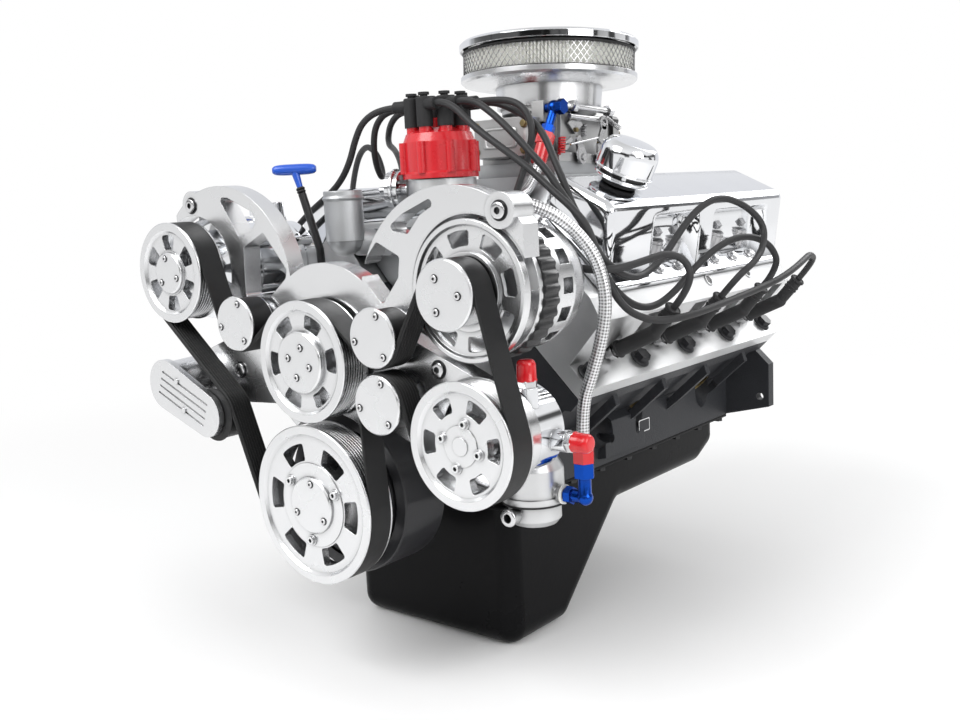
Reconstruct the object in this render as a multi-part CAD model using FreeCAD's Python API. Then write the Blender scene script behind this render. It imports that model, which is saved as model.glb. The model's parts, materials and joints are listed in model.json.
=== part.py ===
import FreeCAD, Part
import math
import os

# Complete 90 degree V8 engine with belt drive, carburettor and air cleaner.
# Frame: +Z up, -Y to the belt end, origin on the crank axis at the rear face of the block.
# All sizes in millimetres.

V = FreeCAD.Vector
ROOT2 = math.sqrt(2.0)

# Running gap between faces that turn or slide on each other
fit = 0.3
# Gap of a part pressed or bolted on a shaft
press = 0.05
# Wall of sheet metal pieces
sheet_wall = 2.5

# Cylinders
bore = 101.6
bore_spacing = 111.25
bank_stagger = 22.0
stroke = 76.2
rod_length = 129.3
piston_height = 40.6
piston_skirt = 22.0
deck_height = 208.4
first_pin_y = -432.0
cylinders_per_bank = 4
head_gasket = 1.0

# Block
block_length = 507.0
pan_rail_z = -20.0
skirt_half_width = 140.0
crankcase_half_width = 115.0
crankcase_radius = 84.0
bank_half_length = 240.0
deck_outer_v = 80.0
deck_inner_v = -98.0
nose_inner_v = 4.0
valley_floor_z = 148.0
valley_wall_z = 206.0
main_housing_width = 24.0
main_housing_radius = 31.0
seal_housing_radius = 39.0
cap_half_width = 70.0
cap_depth = 45.0
jacket_barrel_radius = 56.5
core_plug_radius = 19.0
bell_flange_thickness = 16.0
bell_flange_half_width = 207.0
bell_bolt_radius = 5.6
mount_pad_x = 152.0
mount_bolt_radius = 5.6
mount_bolt_spacing = 62.0
mount_middle_y = -318.0
mount_bolt_z = 14.0
head_bolt_thread = 40.0
bell_bolt_places = [(193.0, 10.0), (168.0, 78.0), (96.0, 158.0)]
core_plug_u = 121.0
core_plug_wall_v = 71.0
jacket_v = 61.0
jacket_base_u = 106.0
jacket_top_u = 196.0

# Crankshaft
main_journal_radius = 28.5
pin_journal_radius = 26.7
counterweight_radius = 66.0
crank_web_thickness = 20.0
snout_radius = 17.5
rear_flange_radius = 48.0
rear_flange_y = 6.0
pilot_bore_radius = 17.5
flange_bolt_circle = 76.2
flange_bolt_radius = 5.5
rod_width = 21.0
rod_side_gap = 1.6
rod_big_end_radius = 33.5
rod_small_end_radius = 16.5
wrist_pin_radius = 11.3
wrist_pin_half_length = 46.0

# Camshaft and valve gear
cam_height = 114.8
cam_journal_radius = 26.0
cam_base_radius = 16.0
cam_lift = 7.0
lobe_width = 12.0
lobe_offset = 20.0
lifter_radius = 11.1
lifter_length = 52.0
pushrod_radius = 4.0
valve_tilt = 20.0
valve_offset = 22.0
valve_stem_radius = 4.0
inlet_valve_radius = 23.0
exhaust_valve_radius = 19.0
spring_radius = 15.0
rocker_width = 12.0
pushrod_top_u = 330.0
valve_length = 118.0
spring_base = 80.0

# Cylinder heads
head_rail_u = 302.0
head_rail_outer_v = 12.0
head_rail_inner_v = -108.0
head_ledge_u = 228.0
exhaust_face_v = 44.0
chamber_radius = 46.0
chamber_depth = 14.0
exhaust_port_offset = 46.0
exhaust_port_width = 32.0
exhaust_port_height = 40.0
head_bolt_v = 60.0
head_bolt_radius = 5.5
plug_radius = 7.0
plug_hex_radius = 9.2
plug_hex_flats = 16.0
plug_neck_radius = 5.5
plug_seat = 12.0
plug_neck_end = 38.0
end_bolt_seat_u = 290.0
end_bolt_pocket_radius = 10.5

# Valve covers
cover_height_outer = 303.0
cover_height_inner = 336.0
cover_half_length = 220.0
cover_shift_y = 10.0
cover_gasket = 1.0
cover_wall = 3.0
cover_flange = 7.0
breather_radius = 33.0
breather_height = 54.0
breather_setback = 82.0
breather_neck_radius = 14.0

# Timing cover, chain and water pump
timing_cover_front_y = -562.0
chain_y = -517.0
chain_width = 14.0
crank_sprocket_radius = 31.5
cam_sprocket_radius = 63.0
chain_thickness = 8.0
pump_axis_z = 154.6
pump_body_radius = 60.0
fuel_flange_x = 112.0

# Belt drive: belt plane and pulleys, each with the radius of its front face
belt_y = -690.0
belt_width = 28.6
belt_backing = 2.4
rib_depth = 2.2
rib_count = 8
pulley_lip = 3.0
pulley_lip_width = 3.5
crank_pulley_radius = 86.8
pump_pulley_radius = 65.1
steering_x = 212.0
steering_z = 87.8
steering_pulley_radius = 61.9
compressor_x = -216.8
compressor_z = 246.4
compressor_pulley_radius = 58.0
alternator_x = 202.0
alternator_z = 229.0
alternator_pulley_radius = 34.4
left_idler_x = -104.7
left_idler_z = 191.1
upper_idler_x = 106.1
upper_idler_z = 184.9
lower_idler_x = 107.2
lower_idler_z = 117.9
idler_radius = 30.5
tensioner_x = -158.0
tensioner_z = 84.0
tensioner_radius = 32.0
tensioner_pivot_x = -238.0
tensioner_pivot_z = 114.0
tensioner_pivot_radius = 30.0
damper_radius = 89.0
damper_front_y = -655.0
damper_rear_y = -592.0

# Bracket
bracket_front_y = -668.0
bracket_thickness = 23.0
bracket_centre_radius = 101.0
bracket_left_arch_x = -168.0
bracket_left_arch_z = 226.0
bracket_left_arch_radius = 117.0
bracket_right_arch_x = 178.0
bracket_right_arch_z = 206.0
bracket_right_arch_radius = 124.0
compressor_clearance_radius = 64.0
fan_clearance_radius = 73.0
stud_radius = 8.0
left_bolt_x = -217.0
left_bolt_z = 322.0
right_bolt_x = 246.0
right_bolt_z = 304.0
plate_bolt_x = 157.0
plate_bolt_z = 151.0

# Accessories
fan_radius = 68.8
fan_front_y = -673.5
stator_front_y = -641.0
stator_rear_y = -616.0
alternator_rear_y = -545.0
compressor_radius = 59.0
compressor_rear_y = -522.0
steering_pump_radius = 45.0
steering_pump_rear_y = -590.0
fuel_pump_x = 172.0
fuel_pump_y = -540.0
fuel_pump_radius = 33.0
fuel_boss_x = 209.0
inlet_reach = 44.0
inlet_bore_radius = 5.0
inlet_bore_depth = 16.0
elbow_x = 238.0
elbow_z = 0.0
hose_start = 64.0
steering_port_y = -633.0
side_port_y = -614.0
top_port_height = 46.0
side_port_reach = 60.0

# Oil pan
pan_front_y = -562.0
sump_front_y = -528.0
sump_rear_y = -415.0
sump_slope_end_y = -290.0
pan_rear_wall_y = -68.0
sump_half_width = 125.0
sump_bottom_z = -203.0
pan_shallow_z = -84.0
pan_rear_y = -22.0
pan_rear_z = -62.0
pan_corner = 22.0
pan_flange_thickness = 4.0

# Intake, carburettor and air cleaner
manifold_front_y = -489.0
manifold_rear_y = -38.0
runner_radius = 21.0
outlet_face_y = -506.0
outlet_x = -74.0
outlet_z = 268.0
outlet_bolt_reach = 28.0
outlet_bolt_edge = 9.0
outlet_half_height = 16.0
neck_x = -86.0
neck_y = -548.0
neck_top_z = 331.0
carb_pad_z = 352.0
carb_centre_y = -244.5
carb_tilt = 3.0
carb_height = 78.0
air_horn_radius = 65.0
throttle_bore_radius = 20.0
throttle_plane_z = 358.0
throttle_shaft_radius = 4.0
bowl_reach = 108.0
cleaner_radius = 117.0
cleaner_base_z = 458.6
filter_thickness = 18.0
lid_radius = 118.6
lid_z = 505.0

# Ignition
distributor_y = -468.0
distributor_shaft_radius = 12.0
distributor_hole_radius = 28.0
distributor_cap_z = 340.0
distributor_cap_radius = 44.0
distributor_cap_height = 58.0
tower_circle = 31.0
tower_radius = 7.5
tower_height = 12.0
boot_radius = 9.0
boot_start = 24.0
boot_knee = 74.7
boot_rise = 39.0
cap_boot_height = 35.0
cap_boot_radius = 9.5
cap_boot_arm = 24.0
cap_boot_arm_radius = 7.0
lead_diameter = 8.0
lead_exit = 34.0

# Dipstick and tubes
dipstick_radius = 1.6
dipstick_handle_turn = 39.0
dipstick_tube_radius = 5.0
hose_diameter = 13.0
hose_exit = 36.0
inlet_line_length = 76.0
fuel_inlet_boss_x = 52.0


# Basic shapes

def bank_point(side, u, v, y=0.0):
    """Point at height u along the cylinder axis and v across the bank, outwards positive."""
    return V(side * (u + v) / ROOT2, y, (u - v) / ROOT2)


def bank_vector(side, du, dv):
    """Direction with du along the cylinder axis and dv across the bank."""
    return V(side * (du + dv) / ROOT2, 0, (du - dv) / ROOT2).normalize()


def rod(start, end, radius):
    """Round bar between two points."""
    axis = end - start
    return Part.makeCylinder(radius, axis.Length, start, axis)


def bar_y(x, z, y0, y1, radius):
    """Round bar along Y."""
    return Part.makeCylinder(radius, y1 - y0, V(x, y0, z), V(0, 1, 0))


def ring_y(x, z, y0, y1, outer, inner):
    """Round tube along Y."""
    return bar_y(x, z, y0, y1, outer).cut(bar_y(x, z, y0 - 1, y1 + 1, inner))


def bar_z(x, y, z0, z1, radius):
    """Round bar along Z."""
    return Part.makeCylinder(radius, z1 - z0, V(x, y, z0))


def block(x0, x1, y0, y1, z0, z1):
    """Box between two corners."""
    return Part.makeBox(x1 - x0, y1 - y0, z1 - z0, V(x0, y0, z0))


def plate_y(outline, y0, y1):
    """Plate with an outline of (x, z) points, between two planes across Y."""
    points = [V(x, y0, z) for x, z in outline]
    face = Part.Face(Part.makePolygon(points + points[:1]))
    return face.extrude(V(0, y1 - y0, 0))


def plate_x(outline, x0, x1):
    """Plate with an outline of (y, z) points, between two planes across X."""
    points = [V(x0, y, z) for y, z in outline]
    face = Part.Face(Part.makePolygon(points + points[:1]))
    return face.extrude(V(x1 - x0, 0, 0))


def bank_plate(side, outline, y0, y1):
    """Plate with an outline of bank (u, v) points, between two planes across Y."""
    points = [bank_point(side, u, v, y0) for u, v in outline]
    face = Part.Face(Part.makePolygon(points + points[:1]))
    return face.extrude(V(0, y1 - y0, 0))


def turned_y(profile, x, z):
    """Turned piece on an axis along Y, from a closed profile of (radius, y) points."""
    points = [V(x + radius, y, z) for radius, y in profile]
    face = Part.Face(Part.makePolygon(points + points[:1]))
    return face.revolve(V(x, 0, z), V(0, 1, 0), 360)


def turned_z(profile, x, y):
    """Turned piece on an upright axis, from a closed profile of (radius, z) points."""
    points = [V(x + radius, y, z) for radius, z in profile]
    face = Part.Face(Part.makePolygon(points + points[:1]))
    return face.revolve(V(x, y, 0), V(0, 0, 1), 360)


def hull_outline(ax, az, ar, bx, bz, br):
    """Face of the shape that a band pulled round two circles encloses, in the plane y = 0."""
    alpha = math.atan2(bz - az, bx - ax)
    distance = math.hypot(bx - ax, bz - az)
    spread = math.acos((ar - br) / distance)

    def spot(x, z, radius, angle):
        return V(x + radius * math.cos(angle), 0, z + radius * math.sin(angle))

    a_up = spot(ax, az, ar, alpha + spread)
    a_back = spot(ax, az, ar, alpha + math.pi)
    a_down = spot(ax, az, ar, alpha - spread)
    b_up = spot(bx, bz, br, alpha + spread)
    b_front = spot(bx, bz, br, alpha)
    b_down = spot(bx, bz, br, alpha - spread)
    edges = [
        Part.Arc(a_up, a_back, a_down).toShape(),
        Part.LineSegment(a_down, b_down).toShape(),
        Part.Arc(b_down, b_front, b_up).toShape(),
        Part.LineSegment(b_up, a_up).toShape(),
    ]
    return Part.Face(Part.Wire(edges))


def link_y(ax, az, ar, bx, bz, br, y0, y1):
    """Plate round two circles, between two planes across Y."""
    face = hull_outline(ax, az, ar, bx, bz, br)
    face.translate(V(0, y0, 0))
    return face.extrude(V(0, y1 - y0, 0))


def sector_y(x, z, inner, outer, middle, half, y0, y1, corner):
    """Window-shaped bar along Y: part of a ring round (x, z), with rounded corners."""
    a0 = math.radians(middle - half)
    am = math.radians(middle)
    a1 = math.radians(middle + half)

    def spot(radius, angle):
        return V(x + radius * math.cos(angle), y0, z + radius * math.sin(angle))

    edges = [
        Part.Arc(spot(outer, a0), spot(outer, am), spot(outer, a1)).toShape(),
        Part.LineSegment(spot(outer, a1), spot(inner, a1)).toShape(),
        Part.Arc(spot(inner, a1), spot(inner, am), spot(inner, a0)).toShape(),
        Part.LineSegment(spot(inner, a0), spot(outer, a0)).toShape(),
    ]
    solid = Part.Face(Part.Wire(edges)).extrude(V(0, y1 - y0, 0))
    return solid.makeFillet(corner, edges_along(solid, V(0, 1, 0)))


def edges_along(solid, axis):
    """Straight edges of a solid that run along an axis."""
    found = []
    for edge in solid.Edges:
        if edge.Curve.TypeId == "Part::GeomLine" and abs(edge.Curve.Direction.dot(axis)) > 0.999:
            found.append(edge)
    return found


def joined(pieces):
    """One solid from pieces that meet."""
    first = pieces[0]
    return first.fuse(pieces[1:]) if len(pieces) > 1 else first


def hexagon(base, axis, across_flats, height):
    """Hexagonal prism from a base point along an axis."""
    radius = across_flats / math.sqrt(3.0)
    points = []
    for k in range(6):
        angle = math.radians(60 * k)
        points.append(V(radius * math.cos(angle), radius * math.sin(angle), 0))
    solid = Part.Face(Part.makePolygon(points + points[:1])).extrude(V(0, 0, height))
    solid.Placement = FreeCAD.Placement(base, FreeCAD.Rotation(V(0, 0, 1), axis))
    return solid


def bolt(seat, axis, shank_radius, shank_length, across_flats, head_height):
    """Hexagon bolt: the axis points from the seat out of the head."""
    outward = V(axis).normalize()
    head = hexagon(seat, outward, across_flats, head_height)
    return head.fuse(rod(seat - outward * shank_length, seat, shank_radius))


def cord_tube(points, diameter, name):
    """Tube along straight runs joined by tangent arcs, each as large as its two runs allow."""
    corners = []
    for before, corner, after in zip(points, points[1:], points[2:]):
        back = (before - corner).normalize()
        ahead = (after - corner).normalize()
        turn = math.pi - back.getAngle(ahead)
        setback = 0.45 * min((before - corner).Length, (after - corner).Length)
        radius = setback / math.tan(turn / 2)
        middle = (back + ahead).normalize()
        centre = corner + middle * math.hypot(radius, setback)
        corners.append((corner + back * setback, centre - middle * radius, corner + ahead * setback))
        print(name, "bend radius", round(radius, 1), "turn", round(math.degrees(turn)))
    edges = []
    last = points[0]
    for start, through, end in corners:
        edges.append(Part.LineSegment(last, start).toShape())
        edges.append(Part.Arc(start, through, end).toShape())
        last = end
    edges.append(Part.LineSegment(last, points[-1]).toShape())
    path = Part.Wire(edges)
    ring = Part.Wire(Part.makeCircle(diameter / 2, points[0], points[1] - points[0]))
    tube = path.makePipeShell([ring], True, False)
    share = tube.Volume / (math.pi * diameter ** 2 / 4 * path.Length)
    print(name, "length", round(path.Length), "volume share", round(share, 4))
    return tube


# Places that follow from the sizes

def pin_y(index):
    return first_pin_y + index * bore_spacing


def main_y(index):
    return first_pin_y + (index - 0.5) * bore_spacing


def bore_y(side, index):
    return pin_y(index) + side * bank_stagger / 2


def bank_middle(side):
    return (bore_y(side, 0) + bore_y(side, cylinders_per_bank - 1)) / 2


cylinder_numbers = range(cylinders_per_bank)
main_numbers = range(cylinders_per_bank + 1)
crank_angles = [135.0, 45.0, 225.0, 315.0]
cam_v = -cam_height / ROOT2
cam_u = cam_height / ROOT2
lifter_base_u = cam_u + cam_base_radius + cam_lift + fit
lifter_top_u = lifter_base_u + lifter_length
head_base_u = deck_height + head_gasket
rocker_floor_u = head_rail_u - 6.0
pump_front_y = bracket_front_y + bracket_thickness
belt_front_y = belt_y - belt_width / 2
belt_rear_y = belt_y + belt_width / 2
sides = (1, -1)


def crank_pin(index):
    """Centre of a crank pin in the plane of its rods."""
    angle = math.radians(crank_angles[index])
    return V(stroke / 2 * math.cos(angle), pin_y(index), stroke / 2 * math.sin(angle))


def piston_pin_u(side, index):
    """Height of the wrist pin along its cylinder, from the crank angle and the rod."""
    pin = crank_pin(index)
    along = (side * pin.x + pin.z) / ROOT2
    across = (side * pin.x - pin.z) / ROOT2
    return along + math.sqrt(rod_length ** 2 - across ** 2)


def carb_tilted(shape):
    """The carburettor and all that stands on it lean back with the manifold's pad."""
    shape.rotate(V(0, carb_centre_y, carb_pad_z), V(1, 0, 0), -carb_tilt)
    return shape


# Block, caps and plugs

def bolt_rows(side):
    """Y places of the head bolts of one bank."""
    first = bore_y(side, 0) - bore_spacing / 2
    return [first + k * bore_spacing for k in range(cylinders_per_bank + 1)]


def bank_range(side):
    return bank_middle(side) - bank_half_length, bank_middle(side) + bank_half_length


def core_plug_places(side):
    """Core plugs sit half way between neighbouring cylinders, square to the bank's wall."""
    return [bore_y(side, k) + bore_spacing / 2 - 20 * k for k in (0, 1, 3)]


def core_plug_bar(side, y, v0, v1, radius):
    return rod(bank_point(side, core_plug_u, v0, y), bank_point(side, core_plug_u, v1, y), radius)


def make_engine_block():
    crankcase = plate_y(
        [
            (-skirt_half_width, pan_rail_z),
            (skirt_half_width, pan_rail_z),
            (skirt_half_width, 38),
            (96, 112),
            (60, valley_floor_z),
            (-60, valley_floor_z),
            (-96, 112),
            (-skirt_half_width, 38),
        ],
        -block_length,
        0,
    )
    wall_half = (deck_height + deck_inner_v) / ROOT2
    end_wall = [
        (-60, valley_floor_z - 1),
        (60, valley_floor_z - 1),
        (wall_half - 12, valley_wall_z),
        (-wall_half + 12, valley_wall_z),
    ]
    body = [crankcase]
    body.append(plate_y(end_wall, -block_length, -block_length + 22))
    body.append(plate_y(end_wall, -24, 0))
    bell = [
        (-bell_flange_half_width, -4),
        (-skirt_half_width, pan_rail_z),
        (skirt_half_width, pan_rail_z),
        (bell_flange_half_width, -4),
        (bell_flange_half_width, 58),
        (180, 84),
        (120, 160),
        (70, valley_wall_z),
        (-70, valley_wall_z),
        (-120, 160),
        (-180, 84),
        (-bell_flange_half_width, 58),
    ]
    body.append(plate_y(bell, -bell_flange_thickness, 0))
    for side in sides:
        y0, y1 = bank_range(side)
        outline = [
            (deck_height, deck_outer_v),
            (deck_height - 17, deck_outer_v),
            (deck_height - 22, core_plug_wall_v + 3),
            (100, core_plug_wall_v - 3),
            (60, 40),
            (60, -60),
            (112, deck_inner_v),
            (deck_height, deck_inner_v),
        ]
        body.append(bank_plate(side, outline, max(y0, -block_length), min(y1, -1.0)))
        if y0 < -block_length:
            nose = [
                (deck_height, deck_outer_v),
                (deck_height - 60, deck_outer_v - 10),
                (deck_height - 60, nose_inner_v),
                (deck_height, nose_inner_v),
            ]
            body.append(bank_plate(side, nose, y0, -block_length))
        for k in (0, 1, 2, 3):
            rib_y = bore_y(side, k) + 6
            rib = [
                (side * 197, 84),
                (side * 138, 30),
                (side * 138, 18),
                (side * 158, 34),
                (side * 201, 72),
            ]
            body.append(plate_y(rib, rib_y, rib_y + 9))
        pad = [
            (side * 134, -12),
            (side * mount_pad_x, -8),
            (side * mount_pad_x, 36),
            (side * 134, 48),
        ]
        body.append(plate_y(pad, mount_middle_y - 46, mount_middle_y + 46))
    solid = joined(body)

    cutters = []
    for k in cylinder_numbers:
        y0 = main_y(k) + main_housing_width / 2
        y1 = main_y(k + 1) - main_housing_width / 2
        cutters.append(bar_y(0, 0, y0, y1, crankcase_radius))
        cutters.append(block(-crankcase_half_width, crankcase_half_width, y0, y1, pan_rail_z - 1, 14))
    for k in main_numbers:
        y0 = main_y(k) - main_housing_width / 2
        y1 = main_y(k) + main_housing_width / 2
        cutters.append(block(-cap_half_width, cap_half_width, y0 - 0.01, y1 + 0.01, pan_rail_z - 1, 0))
    front_main = main_y(0) + main_housing_width / 2
    rear_main = main_y(cylinders_per_bank) + main_housing_width / 2
    cutters.append(bar_y(0, 0, -block_length - 1, front_main, main_housing_radius))
    for k in main_numbers:
        y0 = main_y(k) - main_housing_width / 2 - 1
        cutters.append(bar_y(0, 0, y0, y0 + main_housing_width + 2, main_housing_radius))
    cutters.append(bar_y(0, 0, rear_main, 1, seal_housing_radius))
    cutters.append(bar_y(0, 0, -14, 1, rear_flange_radius + 3))
    cutters.append(bar_y(0, cam_height, -block_length - 1, -12, cam_journal_radius + fit))
    shaft_hole = bar_z(0, distributor_y, cam_height, valley_wall_z + 1, distributor_shaft_radius + fit)
    cutters.append(shaft_hole)
    for side in sides:
        y0, y1 = bank_range(side)
        jacket = bank_plate(
            side,
            [
                (jacket_top_u, jacket_v),
                (jacket_base_u, jacket_v),
                (jacket_base_u, -48),
                (jacket_top_u, -48),
            ],
            bore_y(side, 0) - bore_spacing / 2 + 4,
            bore_y(side, cylinders_per_bank - 1) + bore_spacing / 2 - 4,
        )
        for k in cylinder_numbers:
            y = bore_y(side, k)
            low = bank_point(side, 50, 0, y)
            high = bank_point(side, deck_height + 1, 0, y)
            jacket = jacket.cut(rod(low, high, jacket_barrel_radius))
            cutters.append(rod(low, high, bore / 2))
            for shift in (-lobe_offset, lobe_offset):
                low = bank_point(side, cam_u, cam_v, y + shift)
                high = bank_point(side, deck_height + 1, cam_v, y + shift)
                cutters.append(rod(low, high, lifter_radius + fit))
        bolt_bars = []
        for y in bolt_rows(side):
            for v in (head_bolt_v, -head_bolt_v):
                low = bank_point(side, deck_height - head_bolt_thread, v, y)
                high = bank_point(side, deck_height + 1, v, y)
                sleeve_low = bank_point(side, jacket_base_u - 1, v, y)
                jacket = jacket.cut(rod(sleeve_low, high, head_bolt_radius + 6))
                bolt_bars.append(rod(low, high, head_bolt_radius + fit))
        cutters.append(jacket)
        cutters.extend(bolt_bars)
        for y in core_plug_places(side):
            cutters.append(core_plug_bar(side, y, jacket_v - 2, deck_outer_v + 20, core_plug_radius))
        for shift in (-mount_bolt_spacing / 2, mount_bolt_spacing / 2):
            start = V(side * (mount_pad_x - 22), mount_middle_y + shift, mount_bolt_z)
            cutters.append(rod(start, start + V(side * 30, 0, 0), mount_bolt_radius))
        for x, z in bell_bolt_places:
            start = V(side * x, -bell_flange_thickness - 1, z)
            cutters.append(rod(start, start + V(0, bell_flange_thickness + 2, 0), bell_bolt_radius))
    return solid.cut(cutters)


def make_core_plugs():
    plugs = []
    for side in sides:
        for y in core_plug_places(side):
            cup = core_plug_bar(side, y, jacket_v + 1, core_plug_wall_v - 2, core_plug_radius - press)
            hollow = core_plug_bar(side, y, jacket_v + 3, core_plug_wall_v, core_plug_radius - 2.0)
            plugs.append(cup.cut(hollow))
    return plugs


def make_main_bearing_caps():
    """Five caps, each with its two bearing shells and two bolts."""
    pieces = []
    shell_outer = main_housing_radius - press
    shell_inner = main_journal_radius + fit / 2
    for k in main_numbers:
        y0 = main_y(k) - main_housing_width / 2 + press
        y1 = main_y(k) + main_housing_width / 2 - press
        low = -cap_depth
        cap = block(-52, 52, y0, y1, low, -press).cut(bar_y(0, 0, y0 - 1, y1 + 1, main_housing_radius))
        shell = ring_y(0, 0, y0, y1, shell_outer, shell_inner)
        upper = shell.common(block(-60, 60, y0 - 1, y1 + 1, press, 60))
        lower = shell.common(block(-60, 60, y0 - 1, y1 + 1, -60, -press))
        for x in (-42, 42):
            cap = cap.cut(bar_z(x, main_y(k), low - 1, 1, 6.5))
            pieces.append(bolt(V(x, main_y(k), low), V(0, 0, -1), 6.0, cap_depth - 1, 17, 10))
        pieces.extend([cap, upper, lower])
    return pieces


# Crank, rods and pistons

def crank_web(index, y0):
    """Web beside a pin: a lobe to the pin and a counterweight on the other side."""
    y1 = y0 + crank_web_thickness
    pin = crank_pin(index)
    lobe = link_y(0, 0, 38, pin.x, pin.z, 33, y0, y1)
    angle = crank_angles[index] + 180
    weight = sector_y(0, 0, 20, counterweight_radius, angle, 62, y0, y1, 3)
    return lobe.fuse(weight)


def make_crankshaft():
    front_end = -block_length
    rear_main = main_y(cylinders_per_bank) + main_housing_width / 2
    pin_half = rod_width + rod_side_gap
    journal_half = bore_spacing / 2 - pin_half - crank_web_thickness + 1
    pieces = []
    for k in main_numbers:
        y = main_y(k)
        pieces.append(bar_y(0, 0, y - journal_half, y + journal_half, main_journal_radius))
    pieces.append(bar_y(0, 0, front_end, main_y(0), main_journal_radius))
    for k in cylinder_numbers:
        pin = crank_pin(k)
        pieces.append(bar_y(pin.x, pin.z, pin.y - pin_half - 1, pin.y + pin_half + 1, pin_journal_radius))
        pieces.append(crank_web(k, pin.y + pin_half))
        pieces.append(crank_web(k, pin.y - pin_half - crank_web_thickness))
    pieces.append(bar_y(0, 0, rear_main + fit, -10, seal_housing_radius - 3))
    pieces.append(bar_y(0, 0, -11, rear_flange_y, rear_flange_radius))
    pieces.append(bar_y(0, 0, damper_front_y + 2, front_end + 1, snout_radius))
    pieces.append(sprocket(0, 0, crank_sprocket_radius, 21))
    solid = joined(pieces)
    cutters = [bar_y(0, 0, -30, rear_flange_y + 1, pilot_bore_radius)]
    for k in range(6):
        angle = math.radians(60 * k)
        x = flange_bolt_circle / 2 * math.cos(angle)
        z = flange_bolt_circle / 2 * math.sin(angle)
        cutters.append(bar_y(x, z, -9, rear_flange_y + 1, flange_bolt_radius))
    return solid.cut(cutters)


def sprocket(x, z, radius, teeth):
    """Chain sprocket: a toothed disc just inside the chain."""
    points = []
    for k in range(teeth * 2):
        angle = math.pi * k / teeth
        reach = radius if k % 2 == 0 else radius - 3.5
        points.append((x + reach * math.cos(angle), z + reach * math.sin(angle)))
    return plate_y(points, chain_y - chain_width / 2, chain_y + chain_width / 2)


def make_connecting_rods():
    rods = []
    for k in cylinder_numbers:
        for side in sides:
            pin = crank_pin(k)
            y = bore_y(side, k)
            y0 = y - rod_width / 2
            y1 = y + rod_width / 2
            top = bank_point(side, piston_pin_u(side, k), 0, y)
            solid = link_y(pin.x, pin.z, 15, top.x, top.z, 10, y0 + 4, y1 - 4)
            solid = solid.fuse(bar_y(pin.x, pin.z, y0, y1, rod_big_end_radius))
            solid = solid.fuse(bar_y(top.x, top.z, y0, y1, rod_small_end_radius))
            solid = solid.cut(bar_y(pin.x, pin.z, y0 - 1, y1 + 1, pin_journal_radius + fit / 2))
            rods.append(solid.cut(bar_y(top.x, top.z, y0 - 1, y1 + 1, wrist_pin_radius + fit / 2)))
    return rods


def make_pistons():
    """Eight pistons with ring grooves, each with its wrist pin."""
    pieces = []
    radius = bore / 2 - fit
    for k in cylinder_numbers:
        for side in sides:
            y = bore_y(side, k)
            u = piston_pin_u(side, k)
            crown = bank_point(side, u + piston_height, 0, y)
            solid = rod(bank_point(side, u - piston_skirt, 0, y), crown, radius)
            low = bank_point(side, u - piston_skirt - 1, 0, y)
            solid = solid.cut(rod(low, bank_point(side, u + 26, 0, y), radius - 8))
            for depth in (6, 12, 18):
                start = bank_point(side, u + piston_height - depth, 0, y)
                end = bank_point(side, u + piston_height - depth + 2, 0, y)
                groove = rod(start, end, radius + 1).cut(rod(start, end, radius - 3))
                solid = solid.cut(groove)
            centre = bank_point(side, u, 0, y)
            reach = wrist_pin_half_length
            hole = bar_y(centre.x, centre.z, y - 60, y + 60, wrist_pin_radius + press)
            pieces.append(solid.cut(hole))
            pieces.append(ring_y(centre.x, centre.z, y - reach, y + reach, wrist_pin_radius, 7))
    return pieces


# Cam, lifters and valves

def lobe_places():
    places = []
    for side in sides:
        for k in cylinder_numbers:
            places.append((side, k, bore_y(side, k) - lobe_offset))
            places.append((side, k, bore_y(side, k) + lobe_offset))
    return places


def make_camshaft():
    pieces = [bar_y(0, cam_height, -block_length, -14, cam_base_radius - 2)]
    for k in main_numbers:
        y = main_y(k)
        pieces.append(bar_y(0, cam_height, y - 11, y + 11, cam_journal_radius))
    turn = 0
    for _, k, y in lobe_places():
        angle = math.radians(crank_angles[k] / 2 + turn)
        turn += 55
        reach = cam_base_radius + cam_lift - 8
        x = reach * math.cos(angle)
        z = cam_height + reach * math.sin(angle)
        lobe = link_y(0, cam_height, cam_base_radius, x, z, 8, y - lobe_width / 2, y + lobe_width / 2)
        pieces.append(lobe)
    pieces.append(bar_y(0, cam_height, chain_y - 4, -block_length + 1, cam_base_radius))
    pieces.append(sprocket(0, cam_height, cam_sprocket_radius, 42))
    solid = joined(pieces)
    holes = []
    for k in range(6):
        angle = math.radians(60 * k)
        x = 40 * math.cos(angle)
        z = cam_height + 40 * math.sin(angle)
        holes.append(bar_y(x, z, chain_y - chain_width, chain_y + chain_width, 9))
    return solid.cut(holes)


def make_lifters_and_pushrods():
    pieces = []
    for side, _, y in lobe_places():
        low = bank_point(side, lifter_base_u, cam_v, y)
        top = bank_point(side, lifter_top_u, cam_v, y)
        pieces.append(rod(low, top, lifter_radius))
        pieces.append(rod(top, bank_point(side, pushrod_top_u, cam_v, y), pushrod_radius))
    return pieces


def valve_line(side, y, t):
    """Point on a valve's axis, t from the valve's face towards its tip."""
    angle = math.radians(valve_tilt)
    return bank_point(side, head_base_u + 9.6 + t * math.cos(angle), 2 - t * math.sin(angle), y)


def valve_places(side):
    """Y place and head radius of each valve of one bank."""
    places = []
    for k in cylinder_numbers:
        places.append((bore_y(side, k) - valve_offset, inlet_valve_radius))
        places.append((bore_y(side, k) + valve_offset, exhaust_valve_radius))
    return places


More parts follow.
